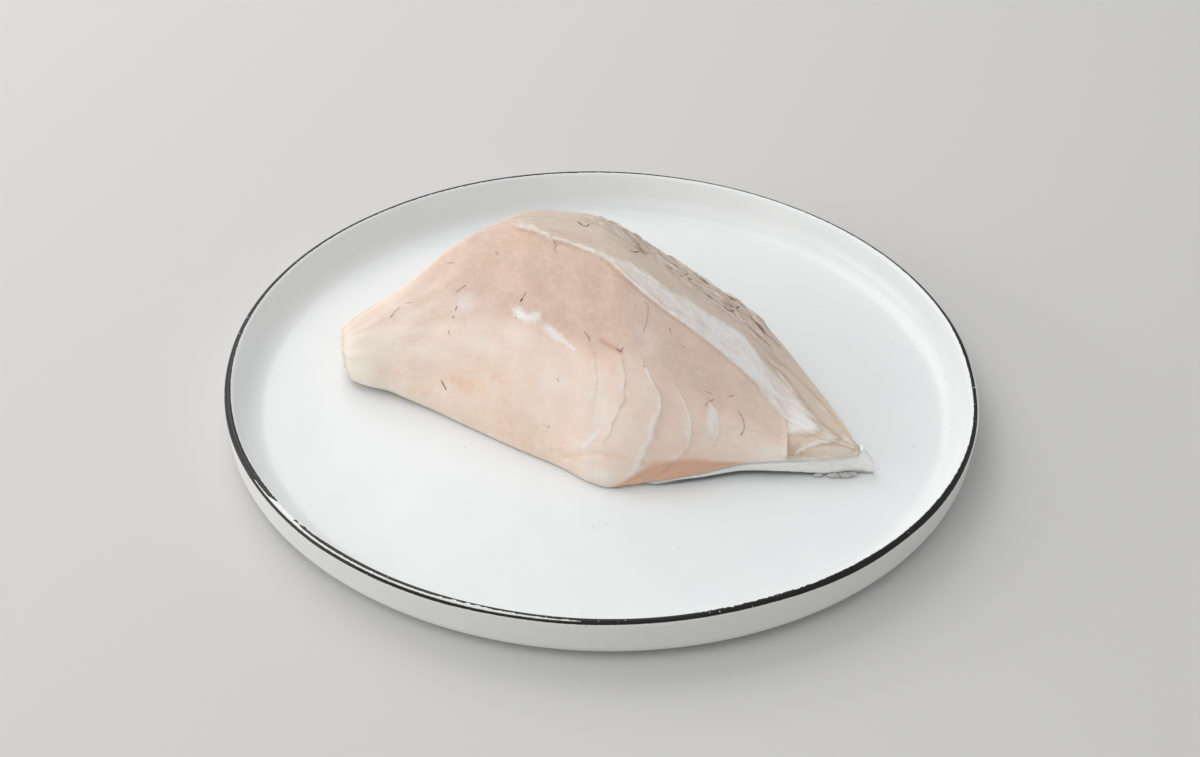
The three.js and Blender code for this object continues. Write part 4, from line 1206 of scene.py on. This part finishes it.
# %% Vessels: slivers on the skin
# Places (x, q) along each vessel, its width in mm, and its darkness from 0 to 1
VESSELS = [
    ([(-10.7, 1.64), (-9, 1.55), (-7.5, 1.53)], 0.4, 1), ([(-6.3, 1.65), (-7.6, 1.53)], 0.3, 0.9),
    ([(9.3, 1.48), (11, 1.53), (13.2, 1.64)], 0.5, 1), ([(7.6, 1.5), (8.2, 1.52)], 0.35, 0.7),
    ([(28, 1.65), (30, 1.78), (31.6, 1.88)], 0.32, 0.7), ([(28.2, 1.7), (31.5, 1.78), (33, 1.8)], 0.38, 0.9),
    ([(45.3, 1.75), (46.3, 1.71), (47.6, 1.71), (49, 1.78), (50, 1.84), (51.3, 1.91)], 0.38, 0.85),
    ([(-20, 0.985), (-18.6, 0.975), (-19.4, 0.95), (-18, 0.945)], 0.25, 0.4),
    ([(-31.2, 0.72), (-30.4, 0.735)], 0.6, 1), ([(-30.4, 0.735), (-29.2, 0.76)], 0.25, 0.7),
    ([(-7.2, 0.705), (-6, 0.7), (-4.8, 0.68)], 0.3, 0.6), ([(4.8, 0.685), (6.4, 0.68), (7.4, 0.7)], 0.32, 0.75),
    ([(-59.6, 0.28), (-58.5, 0.255), (-57.6, 0.23)], 0.42, 0.85),
    ([(-80, 0.79), (-78.5, 0.825), (-76.5, 0.84)], 0.25, 0.35), ([(-74.5, 0.845), (-72, 0.83)], 0.22, 0.25),
    ([(-55, 0.695), (-55.4, 0.67)], 0.3, 0.8), ([(-56, 0.645), (-56.2, 0.635)], 0.34, 0.8),
    ([(-57.4, 0.575), (-57.5, 0.568), (-57.1, 0.55)], 0.26, 0.55),
    ([(-55.5, 0.76), (-53.8, 0.77), (-52, 0.782)], 0.28, 0.4), ([(-59.5, 0.93), (-57, 0.912)], 0.22, 0.25),
    ([(-41.5, 0.9), (-40.6, 0.885)], 0.3, 0.35), ([(-16.4, 0.48), (-15.6, 0.47)], 0.22, 0.3),
    ([(49.6, 0.62), (51, 0.585), (51.6, 0.53), (51.7, 0.48), (51.2, 0.43)], 0.26, 0.55),
    ([(51.2, 0.43), (50.3, 0.39)], 0.32, 0.8), ([(37.4, 0.57), (38.6, 0.61), (40.6, 0.635)], 0.24, 0.45),
    ([(37.4, 0.67), (40, 0.672)], 0.2, 0.3), ([(46, 0.71), (48.2, 0.745)], 0.22, 0.3),
    ([(15, 0.945), (16.3, 0.94), (16.2, 0.9)], 0.24, 0.4), ([(16.2, 0.9), (15.5, 0.85), (14.5, 0.81)], 0.2, 0.2),
    ([(24.3, 0.915), (24.8, 0.9)], 0.3, 0.4), ([(29.3, 0.875), (29.7, 0.865)], 0.3, 0.35),
    ([(14.8, 0.665), (15.2, 0.655)], 0.3, 0.3), ([(-19.1, 0.255), (-18.8, 0.245)], 0.4, 0.35),
    ([(72.2, 0.4), (72.9, 0.38)], 0.4, 0.35), ([(-32.6, 0.66), (-32.2, 0.65)], 0.24, 0.45),
]
VESSEL_HEIGHT = 0.16

bm = bmesh.new()
darkness = bm.verts.layers.float.new("darkness")
for vessel, width, dark in VESSELS:
    spots_on_skin = [loin_muscle.closest_point_on_mesh(Vector(p) * MM)[1:3]
                     for p in skin_point(*np.array(vessel).T)]
    for (start, normal), (end, _) in zip(spots_on_skin, spots_on_skin[1:]):
        run = end - start
        forward = run.normalized()
        sideways = normal.cross(forward).normalized()
        turned = Matrix((forward, sideways, forward.cross(sideways))).transposed().to_4x4()
        stretched = Matrix.Diagonal((run.length * 0.62, width * MM / 2, VESSEL_HEIGHT * MM, 1))
        sliver = bmesh.ops.create_icosphere(bm, subdivisions=2, radius=1,
                                            matrix=Matrix.Translation((start + end) / 2) @ turned @ stretched)
        for vert in sliver["verts"]:
            vert[darkness] = dark
vessel_mesh = bpy.data.meshes.new("cut_vessels")
bm.to_mesh(vessel_mesh)
bm.free()
vessel_mesh.shade_smooth()

vessel_material, tree = new_material("dried_blood_in_vessels")
place = add(tree, "ShaderNodeTexCoord").outputs["Object"]
thinned = noise(place, 1.2, 2)
share = maths("MULTIPLY", skin_value("darkness"), spread(thinned, 0.35, 0.65, 0.75, 1.1))
blood = add(tree, "ShaderNodeMix", {SHARE: share, FIRST: to_linear("#c9a797"), SECOND: to_linear("#4f3f3a")},
            data_type="RGBA")
shader = add(tree, "ShaderNodeBsdfPrincipled", {"Base Color": blood.outputs[MIXED], "Roughness": 0.5})
add(tree, "ShaderNodeOutputMaterial", {"Surface": shader.outputs["BSDF"]})
cut_vessels = show(vessel_mesh, vessel_material, "raw_fish_flesh")
